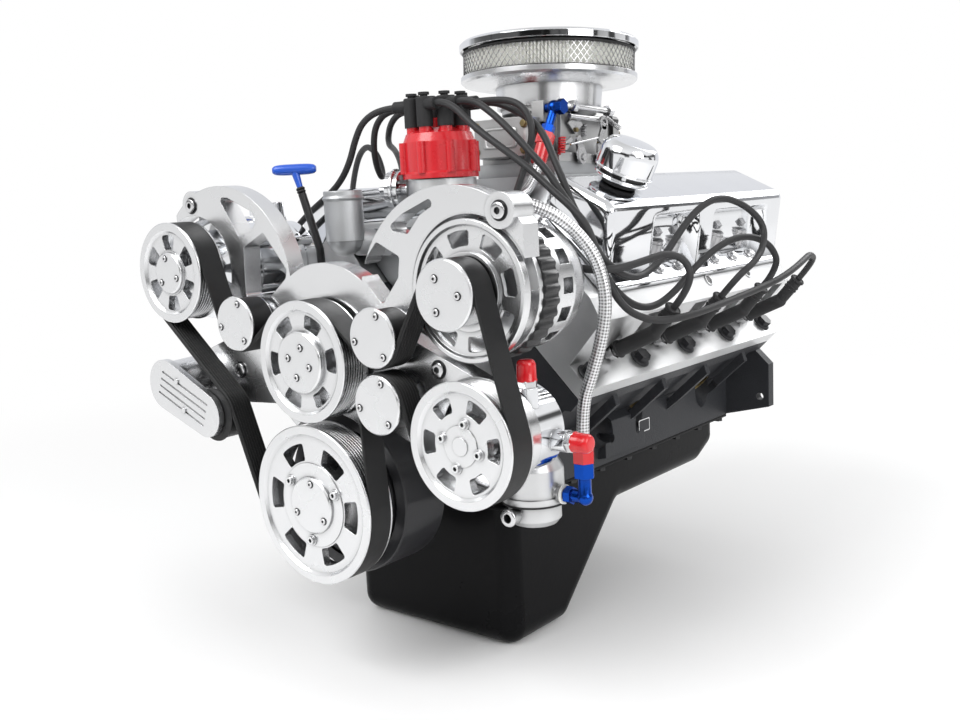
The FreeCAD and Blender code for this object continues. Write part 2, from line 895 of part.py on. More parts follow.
def make_rockers_valves_and_springs():
    """Valves with springs and retainers, and the rocker arms on their studs."""
    pieces = []
    for side in sides:
        for y, radius in valve_places(side):
            axis = valve_line(side, y, 1) - valve_line(side, y, 0)
            head = Part.makeCylinder(radius, 2.0, valve_line(side, y, 0), axis)
            cone = Part.makeCone(radius, valve_stem_radius, 10, valve_line(side, y, 2), axis)
            stem = rod(valve_line(side, y, 8), valve_line(side, y, valve_length), valve_stem_radius)
            retainer = rod(valve_line(side, y, 112), valve_line(side, y, 116), spring_radius - 1)
            pieces.append(joined([head, cone, stem, retainer]))
            coil = rod(valve_line(side, y, spring_base), valve_line(side, y, 112), spring_radius)
            hole = rod(valve_line(side, y, spring_base - 1), valve_line(side, y, 113), spring_radius - 4)
            pieces.append(coil.cut(hole))
        for k in cylinder_numbers:
            for shift in (-1, 1):
                y = bore_y(side, k) + shift * (lobe_offset + valve_offset) / 2
                half = rocker_width / 2
                outline = [
                    (pushrod_top_u + 0.3, cam_v - 7),
                    (pushrod_top_u + 8, cam_v - 7),
                    (344, -61),
                    (339, -34),
                    (333.2, -34),
                    (333.2, -48),
                    (336, -61),
                    (pushrod_top_u + 0.3, cam_v + 7),
                ]
                arm = bank_plate(side, outline, y - half, y + half)
                low = bank_point(side, rocker_floor_u, -62, y)
                high = bank_point(side, 347, -62, y)
                arm = arm.cut(rod(low, high, 4.2))
                pieces.append(arm)
                pieces.append(rod(low, high, 4.0))
    return pieces


# Heads and covers

def head_outline():
    return [
        (head_base_u, deck_inner_v),
        (head_base_u, deck_outer_v),
        (head_ledge_u, deck_outer_v),
        (head_ledge_u, exhaust_face_v),
        (head_rail_u - 8, exhaust_face_v - 4),
        (head_rail_u, head_rail_outer_v),
        (head_rail_u, head_rail_inner_v),
    ]


def plug_line(side, y, t):
    """Point on a spark plug's axis, t outwards from the chamber."""
    return bank_point(side, 223 + t * 0.933, 41.5 + t * 0.359, y)


def is_end_bolt(side, y):
    rows = bolt_rows(side)
    return y == rows[0] or y == rows[-1]


def inner_bolt_seat(side, y):
    """The end bolts of the inner row sit in pockets outside the rocker well."""
    return end_bolt_seat_u if is_end_bolt(side, y) else rocker_floor_u


def make_cylinder_head(side):
    y0, y1 = bank_range(side)
    solid = bank_plate(side, head_outline(), y0, y1)
    cutters = []
    for y in bolt_rows(side):
        low = bank_point(side, head_base_u - 1, head_bolt_v, y)
        cutters.append(rod(low, bank_point(side, head_ledge_u + 1, head_bolt_v, y), head_bolt_radius + fit))
        low = bank_point(side, head_base_u - 1, -head_bolt_v, y)
        high = bank_point(side, head_rail_u + 1, -head_bolt_v, y)
        cutters.append(rod(low, high, head_bolt_radius + fit))
        if is_end_bolt(side, y):
            seat = bank_point(side, end_bolt_seat_u, -head_bolt_v, y)
            cutters.append(rod(seat, high, end_bolt_pocket_radius))
    well = bank_plate(
        side,
        [
            (rocker_floor_u, head_rail_outer_v - 8),
            (head_rail_u + 1, head_rail_outer_v - 8),
            (head_rail_u + 1, head_rail_inner_v + 8),
            (rocker_floor_u, head_rail_inner_v + 8),
        ],
        bolt_rows(side)[0] + end_bolt_pocket_radius + 1.5,
        bolt_rows(side)[-1] - end_bolt_pocket_radius - 1.5,
    )
    cutters.append(well)
    for k in cylinder_numbers:
        y = bore_y(side, k)
        low = bank_point(side, head_base_u - 1, 0, y)
        cutters.append(rod(low, bank_point(side, head_base_u + chamber_depth, 0, y), chamber_radius))
        cutters.append(rod(plug_line(side, y, -6), plug_line(side, y, plug_seat + 1), plug_radius))
        cutters.append(rod(plug_line(side, y, plug_seat), plug_line(side, y, 60), plug_hex_radius + 4))
        port_y = y + exhaust_port_offset
        half = exhaust_port_width / 2
        middle = head_rail_u - 32
        port = bank_plate(
            side,
            [
                (middle - exhaust_port_height / 2, exhaust_face_v + 6),
                (middle + exhaust_port_height / 2, exhaust_face_v + 6),
                (middle + exhaust_port_height / 2 - 4, 8),
                (middle - exhaust_port_height / 2 + 4, 8),
            ],
            port_y - half,
            port_y + half,
        )
        cutters.append(port)
        runner = bank_plate(
            side,
            [(238, deck_inner_v - 14), (276, deck_inner_v - 14), (272, -50), (242, -50)],
            y - valve_offset - 13,
            y - valve_offset + 13,
        )
        cutters.append(runner)
        for shift in (-lobe_offset, lobe_offset):
            low = bank_point(side, head_base_u - 1, cam_v, y + shift)
            high = bank_point(side, head_rail_u + 1, cam_v, y + shift)
            cutters.append(rod(low, high, pushrod_radius + 3))
    for y, radius in valve_places(side):
        cutters.append(rod(valve_line(side, y, -14), valve_line(side, y, 3.2), radius + 0.6))
        cutters.append(rod(valve_line(side, y, 1), valve_line(side, y, 24), radius - 1))
        cutters.append(rod(valve_line(side, y, 1), valve_line(side, y, 100), valve_stem_radius + 0.2))
        cutters.append(rod(valve_line(side, y, spring_base), valve_line(side, y, 120), spring_radius + fit))
    return solid.cut(cutters)


def make_head_gaskets():
    gaskets = []
    for side in sides:
        y0, y1 = bank_range(side)
        outline = [
            (deck_height, deck_outer_v - 1),
            (head_base_u, deck_outer_v - 1),
            (head_base_u, deck_inner_v + 1),
            (deck_height, deck_inner_v + 1),
        ]
        sheet = bank_plate(side, outline, y0 + 1, y1 - 1)
        holes = []
        for k in cylinder_numbers:
            y = bore_y(side, k)
            low = bank_point(side, deck_height - 1, 0, y)
            holes.append(rod(low, bank_point(side, head_base_u + 1, 0, y), bore / 2 + 1))
            for shift in (-lobe_offset, lobe_offset):
                low = bank_point(side, deck_height - 1, cam_v, y + shift)
                high = bank_point(side, head_base_u + 1, cam_v, y + shift)
                holes.append(rod(low, high, lifter_radius + fit))
        for y in bolt_rows(side):
            for v in (head_bolt_v, -head_bolt_v):
                low = bank_point(side, deck_height - 1, v, y)
                holes.append(rod(low, bank_point(side, head_base_u + 1, v, y), head_bolt_radius + fit))
        gaskets.append(sheet.cut(holes))
    return gaskets


def make_head_bolts():
    pieces = []
    for side in sides:
        up = bank_vector(side, 1, 0)
        for y in bolt_rows(side):
            for seat_u, v in ((head_ledge_u, head_bolt_v), (inner_bolt_seat(side, y), -head_bolt_v)):
                length = seat_u - deck_height + head_bolt_thread - 2
                pieces.append(bolt(bank_point(side, seat_u, v, y), up, head_bolt_radius, length, 17, 10))
    return pieces


def make_spark_plugs():
    pieces = []
    for side in sides:
        for k in cylinder_numbers:
            y = bore_y(side, k)
            axis = plug_line(side, y, 1) - plug_line(side, y, 0)
            thread = rod(plug_line(side, y, -2), plug_line(side, y, plug_seat), plug_radius - 0.1)
            hexed = hexagon(plug_line(side, y, plug_seat), axis, plug_hex_flats, 8)
            neck = rod(plug_line(side, y, plug_seat + 7), plug_line(side, y, plug_neck_end), plug_neck_radius)
            pieces.append(joined([thread, hexed, neck]))
    return pieces


def boot_axis(side):
    """Direction in which a lead comes out of its plug boot."""
    return V(side * 0.667, 0, 0.744).normalize()


def lead_end(side, index):
    """Mouth of a plug boot, where the lead goes in."""
    return plug_line(side, bore_y(side, index), boot_knee) + boot_axis(side) * boot_rise


def plug_boot(side, index):
    """Angled rubber boot: a sleeve on the plug, a knee and the part that the lead comes out of."""
    y = bore_y(side, index)
    knee = plug_line(side, y, boot_knee)
    sleeve = rod(plug_line(side, y, boot_start), knee, boot_radius)
    upper = rod(knee, lead_end(side, index), boot_radius - 1)
    solid = joined([sleeve, Part.makeSphere(boot_radius, knee), upper])
    hole_end = plug_line(side, y, plug_neck_end + 0.5)
    hole = rod(plug_line(side, y, boot_start - 1), hole_end, plug_neck_radius + press)
    return solid.cut(hole)


def tower_place(number):
    """Foot of a tower of the distributor cap."""
    angle = math.radians(45 * number + 12)
    x = tower_circle * math.cos(angle)
    return V(x, distributor_y + tower_circle * math.sin(angle), distributor_cap_z + distributor_cap_height)


def arm_axis(heading):
    angle = math.radians(heading)
    return V(math.cos(angle), math.sin(angle), 0)


def arm_end(number, heading):
    """Mouth of a cap boot, where the lead goes in."""
    return tower_place(number) + V(0, 0, cap_boot_height - 9) + arm_axis(heading) * cap_boot_arm


def cap_boot(number, heading):
    """Boot on a tower of the cap, with a knob on top and a side arm for the lead."""
    foot = tower_place(number)
    top = foot.z + cap_boot_height
    solid = bar_z(foot.x, foot.y, foot.z + 1, top, cap_boot_radius)
    solid = solid.makeFillet(2, [edge for edge in solid.Edges if edge.BoundBox.ZMin > top - 0.1])
    knob = bar_z(foot.x, foot.y, top - 1, top + 3, 4.5).fuse(bar_z(foot.x, foot.y, top + 2, top + 5, 6.5))
    middle = foot + V(0, 0, cap_boot_height - 9)
    arm = rod(middle, arm_end(number, heading), cap_boot_arm_radius)
    hole = bar_z(foot.x, foot.y, foot.z, foot.z + tower_height + 0.5, tower_radius + press)
    return joined([solid, knob, arm]).cut(hole)


def make_lead_boots():
    """Rubber boots on the plugs and on the towers of the cap."""
    pieces = []
    for side, routes in ((1, left_lead_routes), (-1, right_lead_routes)):
        for tower, heading, index, _ in routes:
            pieces.append(plug_boot(side, index))
            pieces.append(cap_boot(tower, heading))
    return pieces


def cover_outline(inset):
    """Outer or inner section of a valve cover in (x, z), for the right-hand bank."""
    return [
        (222.5 - inset, cover_rail(222.5 - inset)),
        (233 - inset, cover_height_outer - 8),
        (226 - inset, cover_height_outer + 2 - inset),
        (163 + inset * 0.5, cover_height_inner - inset),
        (152 + inset, cover_height_inner - 9 - inset),
        (141 + inset, cover_rail(141 + inset)),
    ]


def cover_rail(x):
    """Height of the rail plane of the head at a distance x from the middle of the engine."""
    return (head_rail_u + cover_gasket) * ROOT2 - x


def cover_range(side):
    middle = bank_middle(side) + cover_shift_y
    return middle - cover_half_length, middle + cover_half_length


def make_valve_cover(side):
    """Tall cover on the head's rail, with a flange, pressed panels and a breather hole."""
    y0, y1 = cover_range(side)
    outer = plate_y([(side * x, z) for x, z in cover_outline(0)], y0, y1)
    outer = outer.makeFillet(7, top_edges(outer))
    base_u = head_rail_u + cover_gasket
    flange = bank_plate(
        side,
        [
            (base_u, head_rail_outer_v),
            (base_u + cover_flange, head_rail_outer_v),
            (base_u + cover_flange, head_rail_inner_v),
            (base_u, head_rail_inner_v),
        ],
        y0 - 6,
        y1 + 6,
    )
    solid = outer.fuse(flange)
    inner = plate_y([(side * x, z) for x, z in cover_outline(cover_wall)], y0 + cover_wall, y1 - cover_wall)
    below = bank_plate(
        side,
        [
            (base_u - 30, head_rail_outer_v - 9),
            (base_u + 12, head_rail_outer_v - 9),
            (base_u + 12, head_rail_inner_v + 9),
            (base_u - 30, head_rail_inner_v + 9),
        ],
        y0 + cover_wall + 2,
        y1 - cover_wall - 2,
    )
    solid = solid.cut([inner, below])
    base, axis = breather_axis(side)
    solid = solid.cut(Part.makeCylinder(breather_neck_radius + fit, 40, base - axis * 20, axis))
    return solid


def top_edges(solid):
    """Edges of the two end faces that lie above the rail, and the two long top edges."""
    found = []
    for edge in solid.Edges:
        box = edge.BoundBox
        on_end = abs(box.YMax - box.YMin) < 0.01 and box.ZMax > 290
        along = abs(box.YMax - box.YMin) > 1 and box.ZMin > 290
        if on_end and box.ZMin > 285 or along:
            found.append(edge)
    return found


def breather_axis(side):
    """Seat of the breather on the top of the cover, and its axis."""
    slope = math.atan2(cover_height_inner - cover_height_outer - 2, 226 - 163)
    axis = V(side * math.sin(slope), 0, math.cos(slope))
    middle = cover_range(side)[0] + breather_setback
    return V(side * 192, middle, cover_height_inner - (192 - 163) * math.tan(slope)), axis


def make_breather_cap():
    base, axis = breather_axis(1)
    profile_neck = Part.makeCylinder(breather_neck_radius, 14, base - axis * 12, axis)
    foot = Part.makeCylinder(breather_radius - 11, 8, base + axis * fit, axis)
    barrel = Part.makeCylinder(breather_radius - 3, 20, base + axis * 6, axis)
    top = Part.makeCylinder(breather_radius, breather_height - 26, base + axis * 25, axis)
    return joined([profile_neck, foot, barrel, top])


# Timing cover, chain and pumps

def band_y(ax, az, ar, bx, bz, br, thickness, y0, y1):
    """Closed band of a given thickness round two circles."""
    outer = link_y(ax, az, ar + thickness, bx, bz, br + thickness, y0, y1)
    return outer.cut(link_y(ax, az, ar, bx, bz, br, y0 - 1, y1 + 1))


def make_timing_chain():
    half = chain_width / 2
    return band_y(
        0, cam_height, cam_sprocket_radius + fit, 0, 0, crank_sprocket_radius + fit,
        chain_thickness, chain_y - half, chain_y + half,
    )


def make_timing_cover():
    outline = [
        (-104, pan_rail_z),
        (104, pan_rail_z),
        (108, 60),
        (104, 120),
        (76, 196),
        (-76, 196),
        (-104, 120),
        (-108, 60),
    ]
    solid = plate_y(outline, timing_cover_front_y, -block_length)
    chain_room = chain_thickness + 4
    cavity = link_y(
        0, cam_height, cam_sprocket_radius + chain_room, 0, 0, crank_sprocket_radius + chain_room,
        timing_cover_front_y + 8, -block_length + 1,
    )
    solid = solid.cut(cavity)
    seal = ring_y(0, 0, timing_cover_front_y - 8, timing_cover_front_y, 34, snout_radius + fit)
    solid = solid.fuse(seal)
    pad = block(100, fuel_flange_x, fuel_pump_y - 24, fuel_pump_y + 24, 2, 62)
    solid = solid.fuse(pad)
    return solid.cut(bar_y(0, 0, timing_cover_front_y - 9, timing_cover_front_y + 9, snout_radius + fit))


def make_water_pump_housing():
    """Pump body on the timing cover, with a ported leg each side and a flange for the bracket."""
    front = pump_front_y
    back = timing_cover_front_y
    body = bar_y(0, pump_axis_z, front, front + 20, pump_body_radius + 12)
    belly = turned_y(
        [(0, front + 20), (pump_body_radius + 4, front + 20), (pump_body_radius - 8, back), (0, back)],
        0,
        pump_axis_z,
    )
    pieces = [body, belly]
    for side in sides:
        pieces.append(link_y(0, pump_axis_z, 40, side * 78, 118, 20, back - 34, back))
        pieces.append(bar_y(side * 52, pump_axis_z + 34, back - 30, back, 16))
    solid = joined(pieces)
    cutters = [bar_y(0, pump_axis_z, front - 1, front + 62, 26)]
    cutters.append(bar_y(0, 0, front - 1, damper_rear_y + 4, damper_radius + 4))
    return solid.cut(cutters)


def make_harmonic_balancer():
    """Inner hub and outer inertia ring with the rubber between them."""
    front = damper_front_y
    rear = damper_rear_y
    hub = turned_y(
        [(snout_radius + press, front), (damper_radius - 18, front), (damper_radius - 18, front + 12),
         (40, front + 14), (34, rear - 14), (34, rear + 16), (snout_radius + press, rear + 16)],
        0,
        0,
    )
    ring = turned_y(
        [(damper_radius - 14, front), (damper_radius - 1.5, front), (damper_radius, front + 1.5),
         (damper_radius, rear - 1.5), (damper_radius - 1.5, rear), (damper_radius - 14, rear)],
        0,
        0,
    )
    web = ring_y(0, 0, front + 10, rear - 10, damper_radius - 13.9, 33)
    return [hub.fuse(web), ring.cut(web)]


# Pulleys and belt

def groove_radius(face_radius):
    """Radius of the tips between a pulley's grooves."""
    return face_radius - pulley_lip


def rib_profile(radius, outward):
    """Zigzag of a ribbed face as (radius, y) points, from the front of the belt to its rear."""
    pitch = belt_width / rib_count
    points = []
    for k in range(rib_count):
        y = belt_front_y + k * pitch
        points.append((radius, y + 0.45))
        points.append((radius + outward * rib_depth, y + pitch * 0.42))
        points.append((radius + outward * rib_depth, y + pitch * 0.58))
        points.append((radius, y + pitch - 0.45))
    return points


def ribbed_pulley(x, z, radius, window_inner, window_outer, windows, start, hub_radius, rear_y, bore_hole):
    """Polished pulley: grooved rim, windowed front web and a hub to the rear."""
    tip = groove_radius(radius)
    front = belt_front_y - pulley_lip_width
    rear = belt_rear_y + pulley_lip_width - 0.5
    inner = tip - rib_depth - 7
    rim = [(inner, front + 3), (inner + 3, front), (radius - 1, front), (radius, front + 1)]
    rim.extend([(radius, belt_front_y - 0.8), (tip, belt_front_y - 0.2)])
    for point_radius, y in rib_profile(tip, -1):
        rim.append((point_radius, y))
    rim.extend([(tip, belt_rear_y + 0.2), (radius - 1, belt_rear_y + 0.8), (radius - 1, rear), (inner, rear)])
    pieces = [turned_y(rim, x, z)]
    web = ring_y(x, z, front + 3, front + 12, inner + 1, 4)
    cutters = []
    for k in range(windows):
        angle = start + 360 / windows * k
        half = 16 if windows == 6 else 20
        cutters.append(
            sector_y(x, z, window_inner, window_outer, angle, half, front, front + 20, 3.0)
        )
    if windows:
        web = web.cut(cutters)
    pieces.append(web)
    pieces.append(bar_y(x, z, front + 2, rear_y, hub_radius))
    solid = joined(pieces)
    return solid.cut(bar_y(x, z, front + 14, rear_y + 1, bore_hole)) if bore_hole else solid


def cap_with_screws(x, z, radius, front_y, depth, screw_circle, screws, start, screw_radius):
    """Raised round cap with small socket screws on a circle."""
    cap = turned_y(
        [(0, front_y), (radius - 1.5, front_y), (radius, front_y + 1.5), (radius, front_y + depth),
         (0, front_y + depth)],
        x,
        z,
    )
    for k in range(screws):
        angle = math.radians(start + 360 / screws * k)
        sx = x + screw_circle * math.cos(angle)
        sz = z + screw_circle * math.sin(angle)
        cap = cap.cut(bar_y(sx, sz, front_y - 1, front_y + 2, screw_radius + 0.6))
        screw = bar_y(sx, sz, front_y - 1.2, front_y + 2.9, screw_radius)
        socket = hexagon(V(sx, front_y - 2, sz), V(0, 1, 0), screw_radius * 0.9, 2.5)
        cap = cap.fuse(screw.cut(socket))
    return cap


def socket_bolts(x, z, circle, count, start, front_y, radius):
    """Socket head bolts with washers on a circle."""
    pieces = []
    for k in range(count):
        angle = math.radians(start + 360 / count * k)
        bx = x + circle * math.cos(angle)
        bz = z + circle * math.sin(angle)
        head = bar_y(bx, bz, front_y - 4, front_y + 1, radius)
        head = head.cut(hexagon(V(bx, front_y - 5, bz), V(0, 1, 0), radius, 4))
        washer = bar_y(bx, bz, front_y - 1.2, front_y + 1, radius * 1.45)
        pieces.append(head.fuse(washer))
    return pieces


def make_crank_pulley():
    body = ribbed_pulley(
        0, 0, crank_pulley_radius, 48, 67, 6, 55, 46, damper_front_y, 0
    )
    front = belt_front_y - pulley_lip_width
    pieces = [body, cap_with_screws(0, 0, 31, front - 1.5, 5, 24, 3, 84, 2.6)]
    pieces.extend(socket_bolts(0, 0, 39.5, 3, 24, front + 2, 4.2))
    return joined(pieces)


def make_water_pump_pulley():
    front = belt_front_y - pulley_lip_width
    body = ribbed_pulley(
        0, pump_axis_z, pump_pulley_radius, 36, 51, 6, 65, 24, pump_front_y + 4, 0
    )
    cap = cap_with_screws(0, pump_axis_z, 33, front - 3, 8, 16.5, 4, 75, 2.6)
    shaft = bar_y(0, pump_axis_z, pump_front_y, pump_front_y + 50, 11)
    impeller = bar_y(0, pump_axis_z, pump_front_y + 48, pump_front_y + 58, 22)
    return joined([body, cap, shaft, impeller])


def make_power_steering_pulley():
    front = belt_front_y - pulley_lip_width
    rear = bracket_front_y - 2
    body = ribbed_pulley(
        steering_x, steering_z, steering_pulley_radius, 32, 47, 6, 60, 20, rear, 0
    )
    pieces = [body]
    pieces.extend(socket_bolts(steering_x, steering_z, 22.5, 4, 75, front + 3, 4.0))
    pieces.append(bar_y(steering_x, steering_z, front + 1, front + 4, 9))
    pieces.append(bar_y(steering_x, steering_z, rear - 1, pump_front_y + 28, 9))
    return joined(pieces)


def make_compressor_pulley():
    front = belt_front_y - pulley_lip_width
    body = ribbed_pulley(
        compressor_x, compressor_z, compressor_pulley_radius, 27, 44, 6, 90, 26, bracket_front_y - 2, 0
    )
    cap = cap_with_screws(compressor_x, compressor_z, 24, front - 1.5, 6, 17, 3, 100, 2.4)
    shaft = bar_y(compressor_x, compressor_z, bracket_front_y - 3, pump_front_y + 28, 8)
    return joined([body, cap, shaft])


def idler(x, z, radius, rear_y):
    """Smooth idler: a polished face disc with three screws on a plain drum."""
    drum = radius - pulley_lip
    front = belt_front_y - pulley_lip_width
    disc_rear = belt_front_y - 0.5
    rear = belt_rear_y + 1
    hole = stud_radius + fit
    body = turned_y(
        [(hole, disc_rear - 1), (drum, disc_rear - 1), (drum, rear), (drum - 6, rear),
         (drum - 9, rear_y - fit), (hole, rear_y - fit)],
        x,
        z,
    )
    disc = cap_with_screws(x, z, radius, front, disc_rear - front, radius - 7, 3, 70, 2.4)
    return joined([body, disc])


def back_radius(face_radius):
    """Radius of the belt's land line on a smooth idler."""
    return face_radius - pulley_lip + fit + belt_backing


def belt_stations():
    """Pulleys in the order that the belt meets them, with the radius of the line between rib and backing.

    A negative radius is a pulley that the back of the belt runs on, which turns the other way.
    """
    ribbed = [
        (0, 0, crank_pulley_radius),
        (compressor_x, compressor_z, compressor_pulley_radius),
        (0, pump_axis_z, pump_pulley_radius),
        (alternator_x, alternator_z, alternator_pulley_radius),
        (steering_x, steering_z, steering_pulley_radius),
    ]
    ribbed = [(x, z, groove_radius(radius) + fit) for x, z, radius in ribbed]
    idle = -back_radius(idler_radius)
    crank, compressor, pump, alternator, steering = ribbed
    return [
        crank,
        (tensioner_x, tensioner_z, -back_radius(tensioner_radius)),
        compressor,
        (left_idler_x, left_idler_z, idle),
        pump,
        (upper_idler_x, upper_idler_z, idle),
        alternator,
        steering,
        (lower_idler_x, lower_idler_z, idle),
    ]


def belt_normals():
    """Angle of the outward normal of each straight run of the belt."""
    stations = belt_stations()
    angles = []
    for here, there in zip(stations, stations[1:] + stations[:1]):
        dx = there[0] - here[0]
        dz = there[1] - here[1]
        spread = math.acos((here[2] - there[2]) / math.hypot(dx, dz))
        angles.append(math.atan2(dz, dx) + spread)
    return angles


def belt_section(x, z, radius, angle):
    """Cut through the belt where it leaves a pulley: backing outside, ribs inside."""
    def spot(offset, y):
        reach = radius + offset
        return V(x + reach * math.cos(angle), y, z + reach * math.sin(angle))

    points = [spot(belt_backing, belt_front_y), spot(0, belt_front_y)]
    for offset, y in rib_profile(0, -1):
        points.append(spot(offset * 0.86, y))
    points.extend([spot(0, belt_rear_y), spot(belt_backing, belt_rear_y)])
    return Part.Face(Part.makePolygon(points + points[:1]))


def make_serpentine_belt():
    stations = belt_stations()
    angles = belt_normals()
    pieces = []
    for k, (x, z, radius) in enumerate(stations):
        arrive = angles[k - 1]
        leave = angles[k]
        if radius > 0:
            wrap = (arrive - leave) % (2 * math.pi)
        else:
            wrap = -((leave - arrive) % (2 * math.pi))
        section = belt_section(x, z, radius, arrive)
        pieces.append(section.revolve(V(x, 0, z), V(0, 1, 0), math.degrees(wrap)))
        nx, nz, next_radius = stations[(k + 1) % len(stations)]
        start = V(x + radius * math.cos(leave), 0, z + radius * math.sin(leave))
        end = V(nx + next_radius * math.cos(leave), 0, nz + next_radius * math.sin(leave))
        pieces.append(belt_section(x, z, radius, leave).extrude(end - start))
    return joined(pieces)


def make_tensioner_arm():
    """Oblong front cover on the spring case, which turns about the pivot stud."""
    front = belt_front_y - pulley_lip_width - 5
    plate = link_y(
        tensioner_pivot_x, tensioner_pivot_z, tensioner_pivot_radius,
        tensioner_x - 8, tensioner_z, tensioner_radius - 6, front, belt_front_y - 1,
    )
    solid = plate
    for k in range(4):
        shift = (k - 1.5) * 9
        along = V(tensioner_x - 8 - tensioner_pivot_x, 0, tensioner_z - tensioner_pivot_z).normalize()
        across = V(-along.z, 0, along.x) * shift
        start = V(tensioner_pivot_x, front - 1, tensioner_pivot_z) + across + along * (-8)
        slot = link_y(
            start.x, start.z, 1.2, start.x + along.x * 86, start.z + along.z * 86, 1.19,
            front - 1, front + 1.4,
        )
        solid = solid.cut(slot)
    for share in (0.42, 0.3):
        x = tensioner_pivot_x + share * (tensioner_x - tensioner_pivot_x)
        z = tensioner_pivot_z + share * (tensioner_z - tensioner_pivot_z) + (0.36 - share) * 250
        solid = solid.fuse(bar_y(x, z, front - 1.5, front + 3, 3.4))
    case = turned_y(
        [(stud_radius + fit, belt_front_y - 2), (tensioner_pivot_radius - 4, belt_front_y - 2),
         (tensioner_pivot_radius - 2, bracket_front_y - fit), (stud_radius + fit, bracket_front_y - fit)],
        tensioner_pivot_x,
        tensioner_pivot_z,
    )
    axle = bar_y(tensioner_x, tensioner_z, belt_front_y - 2, belt_rear_y, stud_radius)
    return joined([solid, case, axle])


def make_tensioner_pulley():
    drum = tensioner_radius - pulley_lip
    hole = stud_radius + fit
    return turned_y(
        [(hole, belt_front_y), (drum + 2, belt_front_y - 0.4), (drum + 2, belt_front_y - 0.2),
         (drum, belt_front_y), (drum, belt_rear_y), (hole, belt_rear_y)],
        tensioner_x,
        tensioner_z,
    )


# Bracket

def make_accessory_bracket():
    """Polished bracket plate: a round centre, two windowed arches and arms to the pump and tensioner."""
    y0 = bracket_front_y
    y1 = pump_front_y
    low, high = 200.0, 360.0
    left = bar_y(bracket_left_arch_x, bracket_left_arch_z, y0, y1, bracket_left_arch_radius)
    left = left.common(block(-248, -30, y0, y1, low, high))
    right = bar_y(bracket_right_arch_x, bracket_right_arch_z, y0, y1, bracket_right_arch_radius)
    right = right.common(block(30, 268, y0, y1, low, high))
    centre = bar_y(0, pump_axis_z, y0, y1, bracket_centre_radius)
    pieces = [centre, left, right]
    pieces.append(link_y(-60, 150, 52, tensioner_pivot_x, tensioner_pivot_z, 26, y0, y1))
    pieces.append(link_y(left_idler_x, left_idler_z, 24, -60, 170, 50, y0, y1))
    pieces.append(link_y(60, 150, 52, steering_x, steering_z, 50, y0, y1))
    pieces.append(bar_y(left_bolt_x, left_bolt_z, y0, y1, 17))
    pieces.append(bar_y(right_bolt_x, right_bolt_z, y0 - 6, y1, 17))
    solid = joined(pieces)
    cutters = [
        bar_y(compressor_x, compressor_z, y0 - 1, y1 + 1, compressor_clearance_radius),
        bar_y(alternator_x, alternator_z, y0 - 1, y1 + 1, fan_clearance_radius),
        bar_y(0, 0, y0 - 1, y1 + 1, damper_radius + 5),
        bar_y(0, pump_axis_z, y0 - 1, y1 + 1, 27),
        bar_y(steering_x, steering_z, y0 - 1, y1 + 1, 23),
    ]
    windows = [
        [(-166, 330), (-149, 329), (-108, 312), (-103, 300), (-113, 290), (-134, 285)],
        [(-127, 273), (-92, 289), (-57, 248), (-60, 238), (-88, 217), (-130, 217)],
        [(97, 289), (120, 304), (157, 318), (161, 311), (143, 302), (126, 284)],
        [(58, 244), (68, 262), (82, 277), (113, 262), (110, 241), (86, 213), (64, 236)],
    ]
    for outline in windows:
        window = plate_y(outline, y0 - 1, y1 + 1)
        cutters.append(window.makeFillet(4, edges_along(window, V(0, 1, 0))))
    solid = solid.cut(cutters)
    studs = []
    for x, z in (
        (left_idler_x, left_idler_z),
        (upper_idler_x, upper_idler_z),
        (lower_idler_x, lower_idler_z),
    ):
        studs.append(bar_y(x, z, belt_front_y + 4, y0 + 1, stud_radius))
        studs.append(bar_y(x, z, y0 - 4, y0 + 1, stud_radius + 6))
    studs.append(bar_y(tensioner_pivot_x, tensioner_pivot_z, belt_front_y, y0 + 1, stud_radius))
    return joined([solid] + studs)


def make_bracket_bolts():
    """Socket head bolts of the bracket, and the hexagon bolts of the oil pan rail."""
    pieces = []
    for x, z, front in (
        (left_bolt_x, left_bolt_z, bracket_front_y),
        (right_bolt_x, right_bolt_z, bracket_front_y - 6),
        (plate_bolt_x, plate_bolt_z, bracket_front_y),
        (-150, 131, bracket_front_y),
    ):
        head = bar_y(x, z, front - 7, front, 8.5)
        head = head.cut(hexagon(V(x, front - 8, z), V(0, 1, 0), 8, 5))
        pieces.append(head)
    for side in sides:
        for k in range(9):
            y = pan_front_y + 22 + 64 * k
            seat = V(side * (skirt_half_width - 7), y, pan_rail_z - pan_flange_thickness)
            pieces.append(hexagon(seat, V(0, 0, -1), 11, 5))
    return pieces


# Accessories

